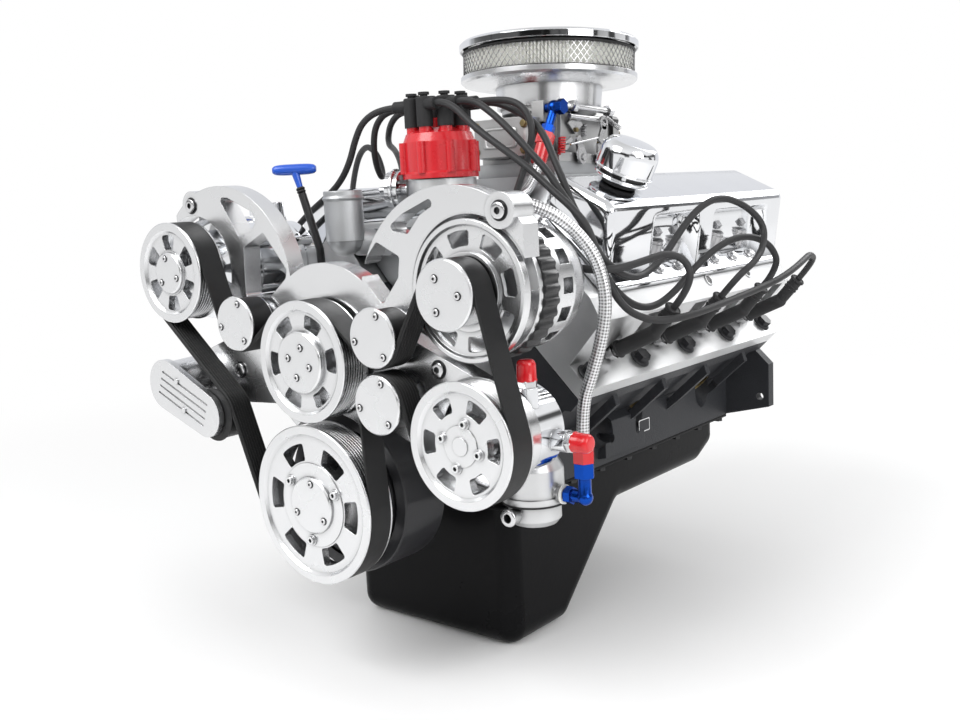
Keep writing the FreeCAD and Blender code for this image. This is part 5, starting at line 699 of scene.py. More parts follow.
def coil(start, end, radius, wire, turns):
    """Points and faces of a spring: a bar along a helix between two places."""
    start = np.asarray(start, float)
    axis = np.asarray(end, float) - start
    share = np.linspace(0, 1, int(turns * 14))
    side = unit(np.cross(axis, (0.2, 0.3, 0.9)))
    up = np.cross(unit(axis), side)
    angle = share[:, None] * turns * 2 * math.pi
    helix = radius * (np.cos(angle) * side + np.sin(angle) * up)
    return swept(start + axis * share[:, None] + helix, wire, 8)


def round_rectangle(half_x, half_y, corner, steps=6):
    """Outline of a rectangle with round corners about the origin."""
    turn = np.linspace(0, math.pi / 2, steps)
    parts = []
    for k, (sx, sy) in enumerate(((1, 1), (-1, 1), (-1, -1), (1, -1))):
        angle = turn + k * math.pi / 2
        parts.append(np.stack([sx * (half_x - corner) + corner * np.cos(angle),
                               sy * (half_y - corner) + corner * np.sin(angle)], axis=1))
    return np.concatenate(parts)


def surface(grid, wrap_rows=False, wrap_columns=True):
    """Points and faces of a grid of places."""
    return grid.reshape(-1, 3), grid_faces(*grid.shape[:2], wrap_rows, wrap_columns)


def finished(name, parts, finish, body, node=None, flat=False, sharp=35):
    """One piece of several (points, faces), which stands for a node if one is given."""
    piece = new_piece(name, *gathered(parts), finish, body, smooth=not flat)
    weld(piece)
    if not flat:
        smooth_by_angle(piece, sharp)
    if node:
        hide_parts(node)
    return piece


def gathered(parts):
    """Several (points, faces) as one."""
    points = []
    faces = []
    start = 0
    for some, quads in parts:
        points.append(np.asarray(some, float))
        faces.extend([[index + start for index in face] for face in quads])
        start += len(some)
    return np.concatenate(points), faces


def weld(piece):
    """Merges doubled points, as at poles and seams, and turns the faces outwards."""
    mesh = bmesh.new()
    mesh.from_mesh(piece.data)
    bmesh.ops.remove_doubles(mesh, verts=mesh.verts, dist=weld_distance)
    bmesh.ops.recalc_face_normals(mesh, faces=mesh.faces)
    mesh.to_mesh(piece.data)
    mesh.free()


# Places that the cords share with the construction

first_pin_y = -0.432
bore_spacing = 0.11125
bank_stagger = 0.022
distributor_y = -0.468
tower_circle = 0.031
cap_arm_z = 0.424
cap_arm = 0.024
boot_knee = 0.0747
boot_rise = 0.039
lead_exit = 0.034
pump_elbow = np.array((0.238, -0.540, 0.064))
carb_pivot = np.array((0, -0.2445, 0.352))
carb_tilt = math.radians(-3.0)
inlet_elbow = np.array((0.063, -0.319, 0.422))


def bore_y(side, index):
    return first_pin_y + index * bore_spacing + side * bank_stagger / 2


def unit(vector):
    vector = np.asarray(vector, float)
    return vector / np.linalg.norm(vector)


def bank_point(side, u, v, y):
    """Point at height u along the cylinders' axis and v across the bank, outwards positive."""
    return np.array((side * (u + v) / ROOT2, y, (u - v) / ROOT2))


def plug_line(side, y, t):
    return bank_point(side, 0.223 + t * 0.933, 0.0415 + t * 0.359, y)


def boot_axis(side):
    return unit((side * 0.667, 0, 0.744))


def boot_mouth(side, index):
    return plug_line(side, bore_y(side, index), boot_knee) + boot_axis(side) * boot_rise


def heading_axis(heading):
    angle = math.radians(heading)
    return np.array((math.cos(angle), math.sin(angle), 0))


def cap_arm_end(tower, heading):
    angle = math.radians(45 * tower + 12)
    foot = (tower_circle * math.cos(angle), distributor_y + tower_circle * math.sin(angle), cap_arm_z)
    return np.array(foot) + heading_axis(heading) * cap_arm


# Each route: the cap's tower, its boot's heading, the cylinder, the length, and places in millimetres
left_routes = [
    (0, 0, 0, 0.513, [
        (78, -462, 424), (106, -461, 421), (126, -462, 408), (134, -463, 385), (128, -465, 360),
        (121, -470, 336), (123, -488, 313), (139, -505, 290), (166, -515, 268), (197, -523, 251),
        (227, -528, 240), (254, -522, 236), (270, -500, 238), (277, -468, 243), (284, -437, 248),
        (298, -420, 239),
    ]),
    (6, -12, 1, 0.746, [
        (52, -508, 424), (90, -510, 391), (130, -511, 365), (154, -513, 350), (175, -513, 334),
        (197, -514, 316), (217, -513, 300), (235, -513, 281), (243, -512, 257), (254, -500, 237),
        (260, -472, 223), (257, -433, 226), (258, -396, 242), (261, -361, 271), (267, -327, 294),
        (275, -290, 303), (287, -249, 289), (298, -226, 265), (305, -246, 239), (308, -280, 224),
    ]),
    (7, -8.4, 3, 0.775, [
        (74, -492, 424), (103, -494, 406), (132, -496, 382), (154, -497, 361), (177, -498, 339),
        (189, -498, 322), (206, -498, 300), (224, -498, 277), (234, -499, 250), (246, -494, 220),
        (258, -484, 193), (273, -463, 179), (289, -438, 177), (299, -404, 180), (303, -362, 184),
        (305, -317, 188), (309, -272, 193), (315, -229, 200), (317, -187, 209), (314, -146, 218),
        (309, -114, 223),
    ]),
    (1, 0, 2, 0.676, [
        (64, -442, 424), (88, -444, 415), (110, -447, 405), (129, -450, 393), (150, -462, 377),
        (173, -477, 347), (189, -483, 322), (198, -484, 300), (213, -484, 280), (222, -484, 254),
        (234, -482, 228), (245, -471, 205), (252, -444, 189), (256, -413, 188), (261, -380, 201),
        (267, -346, 224), (273, -308, 243), (281, -268, 254), (288, -230, 252), (299, -208, 239),
    ]),
]
right_routes = [
    (5, 186, 0, 0.405, [
        (-64, -502, 424), (-88, -505, 412), (-102, -506, 391), (-112, -507, 366), (-130, -507, 343),
        (-156, -507, 325), (-186, -506, 310), (-216, -504, 292), (-243, -501, 272), (-266, -491, 255),
        (-284, -470, 245), (-298, -452, 238),
    ]),
    (4, 180, 1, 0.476, [
        (-76, -475, 424), (-94, -477, 409), (-99, -478, 385), (-103, -471, 360), (-112, -453, 344),
        (-124, -438, 353), (-140, -430, 376), (-162, -424, 389), (-188, -414, 380), (-216, -398, 356),
        (-243, -380, 325), (-266, -362, 292), (-286, -346, 260), (-299, -336, 236),
    ]),
    (3, 180, 2, 0.480, [
        (-74, -451, 424), (-97, -446, 413), (-116, -433, 397), (-137, -410, 388), (-162, -378, 386),
        (-190, -342, 383), (-216, -306, 370), (-241, -275, 345), (-263, -250, 313), (-282, -233, 280),
        (-297, -224, 248),
    ]),
    (2, 150, 3, 0.555, [
        (-50, -412.6, 424), (-77, -388, 416), (-104, -356, 408), (-133, -318, 404), (-162, -274, 402),
        (-192, -230, 396), (-220, -190, 380), (-246, -158, 352), (-268, -134, 318), (-286, -118, 282),
        (-298, -111, 248),
    ]),
]
hose_step = 0.0007
hose_inlet_way = (-0.05, -0.39, -0.92)
hose_inlet_reach = 0.076
hose_sleeve = 0.036
hose_route = [
    (238, -540, 98), (252, -539, 134), (264, -537, 172), (269, -535, 210), (262, -537, 247),
    (247, -550, 277), (230, -573, 300), (203, -595, 312), (168, -600, 318), (133, -583, 321),
    (104, -553, 320), (84, -515, 318), (73, -476, 315), (65, -437, 312), (60, -400, 312),
]


def lead_points(side, tower, heading, index, middle):
    """The route between the two boots, as the construction lays it."""
    start = cap_arm_end(tower, heading)
    end = boot_mouth(side, index)
    middle = np.array(middle) * MM
    first = start + heading_axis(heading) * np.linalg.norm(middle[0] - start)
    return np.vstack([start, first, middle[1:], end + boot_axis(side) * lead_exit, end])


def tilted(points):
    """Points of the carburettor as it stands, leant back about the manifold's pad."""
    turn = np.array(Matrix.Rotation(carb_tilt, 3, "X"))
    return (np.asarray(points, float) - carb_pivot) @ turn.T + carb_pivot


# Operators

class ENGINE_OT_finishes(bpy.types.Operator):
    """Give every carried-over piece its finish."""

    bl_idname = "engine.finishes"
    bl_label = "Finishes"

    def execute(self, context):
        groups.update({
            "cast_grain": cast_grain_group(),
            "polish_marks": polish_marks_group(),
            "rubber_skin": rubber_skin_group(),
            "braid_wires": braid_wires_group(),
            # The last group paints shade into creases and corners.
            "painted_crease_shade": painted_crease_shade_group(),
        })
        make_finishes(context.scene.engine_colours)
        for finish, names in node_finish.items():
            for name in names:
                piece = frame["nodes"][name]
                piece.data.materials.clear()
                piece.data.materials.append(finishes[finish])
        return {"FINISHED"}


class ENGINE_OT_plug_leads(bpy.types.Operator):
    """Lay the eight ignition leads between the cap and the plugs."""

    bl_idname = "engine.plug_leads"
    bl_label = "Plug leads"

    def execute(self, context):
        diameter = context.scene.engine_sizes.lead_diameter
        for word, side, routes in (("left", 1, left_routes), ("right", -1, right_routes)):
            for tower, heading, index, length, middle in routes:
                points = lead_points(side, tower, heading, index, middle)
                name = f"{word}_lead_{index + 1}"
                lead = bpy.data.objects.new(name, route_curve(name, points, diameter / 2))
                context.scene.collection.objects.link(lead)
                lead.data.materials.append(finishes["lead"])
                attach(lead, "engine")
                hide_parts(f"{word}_plug_leads")
        return {"FINISHED"}


class ENGINE_OT_fuel_hose(bpy.types.Operator):
    """Lay the braided fuel hose from the pump to the carburettor."""

    bl_idname = "engine.fuel_hose"
    bl_label = "Fuel hose"

    def execute(self, context):
        """A tube whose radius rises over each bundle of wire.

        The bundles run in both directions at once, and the higher of the two shows: the radius follows the
        larger of two cosines of the angle plus and minus the place along the hose.
        """
        sizes = context.scene.engine_sizes
        top = tilted(inlet_elbow)
        low = tilted(inlet_elbow + unit(hose_inlet_way) * hose_inlet_reach)
        sleeve = low + unit(low - top) * hose_sleeve
        points = np.vstack([pump_elbow, np.array(hose_route) * MM, sleeve, low])
        line, along = even_line(spline_line("fuel_hose", points), hose_step)
        around = 64
        angle = np.linspace(0, 2 * math.pi, around, endpoint=False)[None, :]
        turns = along[:, None] * (2 / sizes.hose_diameter)
        waves = [np.abs(np.cos(sizes.braid_carriers / 2 * (angle + way * turns))) for way in (1, -1)]
        radius = sizes.hose_diameter / 2 + sizes.braid_relief * (np.maximum(*waves) - 0.5)
        skin, faces = surface(tube_skin(line, radius, around))
        hose = new_piece("fuel_hose_braided", skin, faces, "braid", "engine")
        close_ends(hose, end_rings(len(line), around))
        uv = np.stack(np.broadcast_arrays(angle / (2 * math.pi), along[:, None]), axis=-1)
        give_uv(hose, uv.reshape(-1, 2))
        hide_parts("fuel_hose")
        return {"FINISHED"}


def close_ends(piece, rings):
    """Adds a flat face over each ring of vertices."""
    mesh = bmesh.new()
    mesh.from_mesh(piece.data)
    mesh.verts.ensure_lookup_table()
    for rim in rings:
        mesh.faces.new([mesh.verts[k] for k in rim])
    mesh.normal_update()
    bmesh.ops.recalc_face_normals(mesh, faces=mesh.faces)
    mesh.to_mesh(piece.data)
    mesh.free()


def give_uv(piece, uv):
    """A UV map from one value for each vertex."""
    layer = piece.data.uv_layers.new(name="UVMap")
    corner = np.empty(len(piece.data.loops), int)
    piece.data.loops.foreach_get("vertex_index", corner)
    layer.data.foreach_set("uv", uv[corner].ravel())


filter_radius = 0.113
filter_half = 0.0175
filter_seal = 0.004
fold_depth = 0.007
fold_gap = 0.0015
paper_share = 0.985
wire_climb = 0.8


class ENGINE_OT_air_filter(bpy.types.Operator):
    """Build the pleated filter and its wire screen."""

    bl_idname = "engine.air_filter"
    bl_label = "Air filter"

    def execute(self, context):
        """The paper's radius follows a triangle wave of the angle; the screen's wires climb as helices."""
        sizes = context.scene.engine_sizes
        low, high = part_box("air_filter_element")
        centre = np.array((low + high) / 2)
        turn = np.array(Matrix.Rotation(carb_tilt, 3, "X"))
        half = filter_half - filter_seal
        steps = sizes.pleats * 4
        angle = np.linspace(0, 2 * math.pi, steps, endpoint=False)
        wave = np.abs((np.arange(steps) / 4 % 1) * 2 - 1)
        wall = filter_radius - fold_gap - wave * fold_depth
        flat = np.stack([np.cos(angle) * wall, np.sin(angle) * wall], axis=1)
        paper = np.stack([np.column_stack([flat, np.full(steps, h)]) for h in np.linspace(-half, half, 3)])
        shell = np.concatenate([paper, paper[::-1] * np.array((paper_share, paper_share, 1))])
        points, faces = surface(shell @ turn.T + centre, wrap_rows=True)
        pleats = new_piece("filter_pleats", points, faces, "paper", "engine", smooth=False)
        for piece in (pleats, self.screen(sizes, half, turn, centre), self.seals(turn, centre)):
            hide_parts("air_filter_element")
        return {"FINISHED"}

    def screen(self, sizes, half, turn, centre):
        """Wires of the screen: each is a thin square tube that climbs round the paper by a fixed angle."""
        steps = 9
        thick = sizes.screen_wire / 2
        climb = np.linspace(-half, half, steps)
        wires = []
        for direction in (1, -1):
            for k in range(sizes.screen_wires):
                angle = 2 * math.pi * k / sizes.screen_wires + direction * climb / filter_radius * wire_climb
                wire = []
                for side, rise in ((-1, -1), (1, -1), (1, 1), (-1, 1)):
                    radius = filter_radius + thick * (direction + side)
                    turned = angle + rise * thick / filter_radius
                    wire.append(np.stack([radius * np.cos(turned), radius * np.sin(turned), climb], axis=1))
                wires.append(surface(np.stack(wire) @ turn.T + centre, True, False))
        return new_piece("filter_screen", *gathered(wires), "bright_steel", "engine", smooth=False)

    def seals(self, turn, centre):
        """Two rubber rims: a rounded section turned about the filter's axis."""
        section = [(-0.019, -1), (-0.019, 1), (0.0005, 1), (0.0016, 0.5), (0.0016, -0.5), (0.0005, -1)]
        rims = []
        for middle in (-filter_half + filter_seal / 2, filter_half - filter_seal / 2):
            rim = [(filter_radius + out, middle + up * filter_seal / 2) for out, up in (*section, section[0])]
            points, faces = turned_piece(rim, 128)
            rims.append((points @ turn.T + centre, faces))
        return finished("filter_seals", rims, "rubber", "engine")


cover_front = {1: -0.464, -1: -0.486}
cover_length = 0.440
cover_section = np.array([
    (222.5, 214), (232, 284), (233.5, 297), (226, 305), (163, 336), (152, 327), (141, 295),
]) * MM
cover_bays = ((0.092, 0.205), (0.238, 0.398))
cover_bay_depth = 0.021
cover_bay_run = 0.022
cover_panel_height = 0.0011
cover_end_round = 0.009
cover_foot_reach = 0.055
cover_sheet = 0.002

# Starts and ends of the outer wall, its ledge, its slope, and of the panel across and along the top
cover_outer_wall = (0.2215, 0.2225)
cover_ledge = (0.276, 0.288)
cover_slope = (0.216, 0.262)
cover_top_z = 0.3
cover_panel_across = ((0.168, 0.171), (0.216, 0.219))
cover_panel_along = ((0.148, 0.152), (0.424, 0.428))
cover_flange_u = 0.303
cover_flange_thickness = 0.0068
breather_seat = np.array((0.192, -0.3821, 0.3217))
breather_axis = np.array((31, 0, 63)) / math.hypot(31, 63)


class ENGINE_OT_valve_covers(bpy.types.Operator):
    """Build the tall chromed valve covers with their hollowed outer walls, lips and bolts."""

    bl_idname = "engine.valve_covers"
    bl_label = "Valve covers"

    def execute(self, context):
        for word, side in (("left", 1), ("right", -1)):
            for piece in (self.shell(word, side), self.lip(word, side), self.bolts(word, side)):
                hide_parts(f"{word}_valve_cover")
        return {"FINISHED"}

    def shell(self, word, side):
        """The section is carried along the engine, and shrinks towards its foot at both ends.

        It shrinks round a quarter circle. The outer wall steps inwards in two bays below the ledge, and the
        top carries a raised bare panel.
        """
        section = rounded_line(cover_section, (0.006, 0.0045, 0.005, 0.008, 0.007), 9)
        tangent = np.gradient(section, axis=0)
        inward = np.stack([-tangent[:, 1], tangent[:, 0]], axis=1)
        inward /= np.linalg.norm(inward, axis=1)[:, None]
        across, height = section.T
        turn = cover_end_round
        ends = turn * (1 - np.cos(np.linspace(0, math.pi / 2, 8)))
        middle = np.linspace(turn, cover_length - turn, 150)[1:-1]
        along = np.concatenate([ends, middle, cover_length - ends[::-1]])
        gap = np.minimum(along, cover_length - along)
        shrink = turn - np.sqrt(np.maximum(0, turn ** 2 - np.maximum(0, turn - gap) ** 2))
        wall = smooth_step(across, *cover_outer_wall) * (1 - smooth_step(height, *cover_ledge))
        scoop = wall * (0.75 + 0.25 * smooth_step(height, *cover_slope))
        bays = sum(between(along, (start, start + cover_bay_run), (end - cover_bay_run, end))
                   for start, end in cover_bays)
        on_top = between(across, *cover_panel_across) * (height > cover_top_z)
        panel = between(along, *cover_panel_along)
        push = scoop[:, None] * bays * cover_bay_depth - cover_panel_height * on_top[:, None] * panel
        foot = (section[0] + section[-1]) / 2
        scale = 1 - shrink[None, :] / cover_foot_reach
        x = foot[0] + (section[:, :1] - foot[0]) * scale + inward[:, :1] * push
        z = foot[1] + (section[:, 1:] - foot[1]) * scale + inward[:, 1:] * push
        y = np.repeat(cover_front[side] + along[None, :], len(section), axis=0)
        walls = np.stack([side * x, y, z], axis=-1)
        parts = [surface(walls, wrap_columns=False)]
        for end in (0, -1):
            edge = walls[:, end]
            chord = edge[0] + np.linspace(0, 1, len(edge))[:, None] * (edge[-1] - edge[0])
            share = np.linspace(0, 1, 7)[:, None, None]
            parts.append(surface((1 - share) * edge + share * chord, wrap_columns=False))
        piece = finished(f"{word}_cover_shell", parts, "chrome", "engine", sharp=50)
        wall = piece.modifiers.new("wall", "SOLIDIFY")
        wall.thickness = cover_sheet
        wall.offset = -1
        return piece

    def lip(self, word, side):
        """A rounded strip carried round the foot of the cover, on the rail of the head."""
        centre = np.array((-0.048, cover_front[side] + cover_length / 2))
        half = np.array((0.0605, cover_length / 2 + 0.006))
        outline = round_rectangle(*half, 0.012, 7)
        inner = outline * (half - 0.03) / half
        top = cover_flange_u + cover_flange_thickness
        rings = [
            (inner, cover_flange_u), (outline, cover_flange_u), (outline, top - 0.002),
            (outline * (1 - 0.0007 / half[0]), top - 0.0006), (outline * (1 - 0.0022 / half[0]), top),
            (inner, top),
        ]
        skin = []
        for flat, u in rings:
            v, y = (centre + flat).T
            skin.append(np.stack([side * (u + v) / ROOT2, y, (u - v) / ROOT2], axis=1))
        return finished(f"{word}_cover_lip", [surface(np.stack(skin), True)], "chrome", "engine", sharp=50)

    def bolts(self, word, side):
        """Hexagon bolts, on washers in the bays and bare on the inner lip."""
        up = bank_point(side, 1, 0, 0)
        seat = cover_flange_u + cover_flange_thickness
        parts = []
        for v, washer, places in ((-0.0035, 0.0078, (0.125, 0.172, 0.268, 0.318, 0.368)),
                                  (-0.1015, 0.0, (0.03, 0.16, 0.28, 0.41))):
            for along in places:
                place = bank_point(side, seat, v, cover_front[side] + along)
                parts.append(stood(hex_head(0.010, 0.006, washer), place, up, along * 40))
        return finished(f"{word}_cover_bolts", parts, "bright_steel", "engine", flat=True)


class ENGINE_OT_breather(bpy.types.Operator):
    """Build the push-in breather: chromed dome, vented band and rubber grommet."""

    bl_idname = "engine.breather"
    bl_label = "Breather"

    def execute(self, context):
        """Sections of radius and height, in millimetres, turned about the breather's own axis."""
        dome = rounded_line([(0, 54), (26, 51), (33, 44), (33.2, 20), (34.4, 19), (34.4, 17.4), (30, 17.4),
                             (30, 40), (0, 48)], (2, 7, 0.6, 0.5, 0.5, 0.5, 2), 6)
        base = rounded_line([(0, 13), (30, 13), (32, 11.5), (32, 9), (30, 7), (21, 6), (0, 6)],
                            (1, 1, 1, 1, 1), 4)
        grommet = rounded_line([(0, 7), (20, 7), (21.5, 4), (20.5, 1), (14, 0.6), (14, -12), (0, -12)],
                               (1, 2, 1, 0.5, 0.5), 4)
        parts = (("dome", dome, "chrome"), ("band", flat_section(0, 28.2, 12, 30), "lacquer"),
                 ("base", base, "chrome"), ("grommet", grommet, "rubber"))
        for name, section, finish in parts:
            shape = stood(turned_piece(np.array(section) * MM), breather_seat, breather_axis)
            finished(f"breather_{name}", [shape], finish, "breather_cap", "breather_cap", sharp=40)
        self.tabs()
        return {"FINISHED"}

    def tabs(self):
        """Five bright pillars across the vented band: short strips bent to its radius."""
        parts = []
        for k in range(5):
            angle = 2 * math.pi * k / 5 + np.linspace(-0.09, 0.09, 4)
            rows = []
            for radius, height in flat_section(27.5, 29.6, 12, 18.5):
                circle = radius * np.array([np.cos(angle), np.sin(angle)])
                rows.append(np.column_stack([circle.T, np.full(4, height)]))
            points, faces = surface(np.stack(rows) * MM, True, False)
            faces = [*faces.tolist(), [0, 4, 8, 12], [15, 11, 7, 3]]
            parts.append(stood((points, faces), breather_seat, breather_axis))
        finished("breather_tabs", parts, "chrome", "breather_cap", "breather_cap", flat=True)


class ENGINE_OT_fittings(bpy.types.Operator):
    """Colour the line fittings, and build the port caps, the pump's fine parts and the bare plate."""

    bl_idname = "engine.fittings"
    bl_label = "Fittings"

    def execute(self, context):
        def fitting(low, high):
            """Colour of a solid: the port caps are built below, sockets are red and elbows blue."""
            middle = (low + high) / 2
            if middle[1] < -0.6:
                return None
            if middle[0] > 0.15:
                return "red" if low[2] > 0.036 else "blue"
            return "blue" if high[2] > 0.40 else "red"
        for piece in island_pieces("line_fittings", fitting):
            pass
        self.port_caps()
        self.pump_details()
        self.plate()
        return {"FINISHED"}

    def port_caps(self):
        """Steering pump: a steel nut and a red cap with a rounded end on each of its two ports."""
        nuts = []
        caps = []
        turn = np.linspace(0, math.pi / 2, 8)
        for seat, axis, length in (((0.238, -0.633, 0.1338), (0, 0, 1), 0.027),
                                   ((0.272, -0.614, 0.0798), (1, 0, 0), 0.025)):
            section = [(0, 0.0062), (0.0104, 0.0062), (0.0104, 0.0075), (0.0098, 0.0085)]
            section += [(0.0056 + 0.004 * math.cos(a), length - 0.006 + 0.006 * math.sin(a)) for a in turn]
            nuts.append(stood(hex_head(0.019, 0.008), seat, axis))
            caps.append(stood(turned_piece([*section, (0, length)], 40), seat, axis))
        finished("port_nuts", nuts, "bright_steel", "engine", "line_fittings", flat=True)
        finished("port_caps", caps, "red", "engine", "line_fittings")

    def pump_details(self):
        """Fuel pump: the dark gasket over its bowl, the inlet's rim, and a white ring at the outlet."""
        gasket = ring(flat_section(0.030, 0.0356, -0.0128, -0.0108), (0.172, -0.540, 0), (0, 0, 1), 72)
        rim = ring(rounded_section(0.0051, 0.0098, 0, 0.0042), (0.168, -0.5805, -0.022), front_way, 40)
        washer = ring(flat_section(0.0072, 0.0106, 0, 0.0022), (0.2108, -0.540, 0), (1, 0, 0), 40)
        finished("pump_gasket", [gasket], "rubber", "engine")
        finished("pump_inlet_rim", [rim], "bright_steel", "engine")
        finished("outlet_washer", [washer], "paper", "engine")

    def plate(self):
        """A bare plate with a bright border on the side of the block."""
        for name, half_y, half_z, lift, finish in (("plate_border", 0.0135, 0.0085, 0.0006, "bright_steel"),
                                                   ("plate_field", 0.0120, 0.0070, 0.0008, "block")):
            outline = round_rectangle(half_y, half_z, 0.0015) + (-0.252, 0.010)
            foot = np.column_stack([np.full(len(outline), 0.1399), outline])
            top = foot + (lift, 0, 0)
            skin = np.stack([foot, top, top.mean(0) * np.ones_like(foot)])
            finished(name, [surface(skin)], finish, "engine", flat=True)


dipstick_low = np.array((-0.140, -0.541, 0.262))
dipstick_mouth = np.array((-0.165, -0.541, 0.330))
handle_turn = math.radians(39)
handle_lift = 0.031
handle_half = 0.027
handle_radius = 0.0034


class ENGINE_OT_dipstick(bpy.types.Operator):
    """Build the dipstick: a blue T handle, a black collar and a steel blade."""

    bl_idname = "engine.dipstick"
    bl_label = "Dipstick"

    def execute(self, context):
        """A handle whose bar thins towards its ends.

        Its radius follows sqrt(1 - s^4), where s runs from -1 at one end to 1 at the other.
        """
        axis = unit(dipstick_mouth - dipstick_low)
        top = dipstick_mouth + axis * 0.001
        middle = top + axis * handle_lift
        cross = np.array((math.cos(handle_turn), math.sin(handle_turn), 0))
        share = np.linspace(-1, 1, 25)
        thick = handle_radius * (1 + np.sqrt(np.clip(1 - share ** 4, 0, 1)))
        neck = middle - axis * np.linspace(0.025, 0, 8)[:, None]
        grip = [swept(middle + cross * handle_half * share[:, None], thick, 20),
                swept(neck, np.linspace(0.0036, 0.0054, 8), 20)]
        collar = [ring(rounded_section(0.0017, 0.0056, step, step + 0.0034), top, axis, 24)
                  for step in (0.0002, 0.0038)]
        blade = [swept(np.array([dipstick_low + axis * 0.008, top + axis * 0.004]), 0.0016, 10)]
        for name, parts, finish in (("handle", grip, "handle_blue"), ("collar", collar, "rubber"),
                                    ("blade", blade, "bright_steel")):
            finished(f"dipstick_{name}", parts, finish, "dipstick", "dipstick")
        return {"FINISHED"}


pulley_face = -0.7078
belt_front = -0.7043
belt_rear = -0.6757
bracket_face = -0.668

# Screws of each hub: piece, body, centre, circle, number, first angle in degrees, face and head radius
hub_screws = (
    ("crank_hub_screws", "crank", (0, 0), 0.024, 3, 84, -0.7093, 0.0034),
    ("pump_hub_screws", "water_pump", (0, 0.1546), 0.0165, 4, 75, -0.7108, 0.0034),
    ("compressor_hub_screws", "compressor", (-0.2168, 0.2464), 0.017, 3, 100, -0.7093, 0.0032),
    ("left_idler_screws", "left_idler", (-0.1047, 0.1911), 0.0235, 3, 70, pulley_face, 0.0032),
    ("right_upper_idler_screws", "right_upper_idler", (0.1061, 0.1849), 0.0235, 3, 70, pulley_face, 0.0032),
    ("right_lower_idler_screws", "right_lower_idler", (0.1072, 0.1179), 0.0235, 3, 70, pulley_face, 0.0032),
    ("alternator_hub_screws", "alternator", (0.202, 0.229), 0.018, 3, 0, pulley_face, 0.0034),
)
bracket_screws = (
    (-0.217, 0.322, bracket_face), (0.246, 0.304, bracket_face - 0.006), (0.157, 0.151, bracket_face),
    (-0.150, 0.131, bracket_face),
)


class ENGINE_OT_screws(bpy.types.Operator):
    """Build the socket screws of the hubs and the bracket."""

    bl_idname = "engine.screws"
    bl_label = "Screws"

    def execute(self, context):
        for name, body, centre, circle, count, start, face, radius in hub_screws:
            places = []
            for k in range(count):
                angle = math.radians(start + 360 / count * k)
                x = centre[0] + circle * math.cos(angle)
                z = centre[1] + circle * math.sin(angle)
                places.append((x, face, z))
            self.screws(name, body, places, radius, 0.0019)
        places = [(x, face, z) for x, z, face in bracket_screws]
        self.screws("bracket_screws", "engine", places, 0.0078, 0.0035, "bracket_and_pan_bolts")
        island_pieces("bracket_and_pan_bolts", lambda low, high: "lacquer" if high[2] < 0 else None)
        return {"FINISHED"}

    def screws(self, name, body, places, radius, height, node=None):
        """Bright heads, each with painted shade: a dark hexagon filling its socket and a dark ring round it
        for its counterbore.
        """
        size = np.array((radius, height))
        head = np.array([(0, 0.45), (0.42, 0.45), (0.42, 1), (0.86, 1), (1, 0.8), (1, 0), (0, 0)]) * size
        # Painted shade: a thin dark ring round the head, for the counterbore.
        painted_counterbore_shade = flat_section(radius, radius * 1.26, 0, height * 0.06)
        # Painted shade: a dark hexagon that fills the head's socket.
        socket = np.array([(0, 0.46), (0.46, 0.46), (0.46, 1.01), (0.4, 1.01), (0.4, 0.5), (0, 0.5)]) * size
        heads = []
        painted_recess_shade = []
        for place in places:
            heads.append(stood(turned_piece(head, 36), place, front_way))
            painted_recess_shade.append(ring(painted_counterbore_shade, place, front_way, 36))
            painted_recess_shade.append(stood(turned_piece(socket, 6), place, front_way, 0.3))
        finished(name, heads, "bright_steel", body, node)
        # The dark pieces are painted shade in the recesses.
        finished(name + "_painted_shade", painted_recess_shade, "lacquer", body, node)


class ENGINE_OT_belt_drive(bpy.types.Operator):
    """Build the alternator's ribbed core and the black drums of the idlers."""

    bl_idname = "engine.belt_drive"
    bl_label = "Belt drive"

    def execute(self, context):
        self.core()
        section = flat_section(0.0262, 0.0276, 0, belt_rear - belt_front)
        for name in ("left_idler", "right_upper_idler", "right_lower_idler"):
            low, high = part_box(name)
            centre = (low + high) / 2
            drum = ring(section, (centre[0], belt_front + 0.0002, centre[2]), (0, 1, 0), 72)
            finished(name + "_drum", [drum], "belt", name)
        return {"FINISHED"}

    def core(self):
        """The outer radius follows a rounded square wave of the angle, and the teeth fade at both edges."""
        low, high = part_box("alternator_rotor")
        centre = (low + high) / 2
        low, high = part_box("alternator_stator")
        teeth = 34
        tooth = 0.0030
        angle = np.linspace(0, 2 * math.pi, teeth * 8, endpoint=False)
        wave = 0.5 + 0.5 * np.tanh(2.5 * np.cos(teeth * angle))
        depth = high[1] - low[1]
        along = np.array([0, 0, 0.0012, 0.003, depth - 0.003, depth - 0.0012, depth, depth])[:, None]
        fade = np.array([0, 0, 0.7, 1, 1, 0.7, 0, 0])[:, None]
        base = np.array([0.049, 0.0655, 0.0667, 0.0667, 0.0667, 0.0667, 0.0655, 0.049])[:, None]
        radius = base + tooth * fade * wave
        skin = np.stack([centre[0] + radius * np.cos(angle), low[1] + along + 0 * radius,
                         centre[2] + radius * np.sin(angle)], axis=-1)
        finished("alternator_core", [surface(skin, True)], "lacquer", "engine", "alternator_stator", sharp=40)


# Inner and outer radius, low and high of the bands on a boot's mouth
mouth_bands = ((0.0074, 0.0098, -0.004, 0.0006), (0.0070, 0.0090, -0.013, -0.0105),
               (0.0070, 0.0090, -0.0175, -0.015))


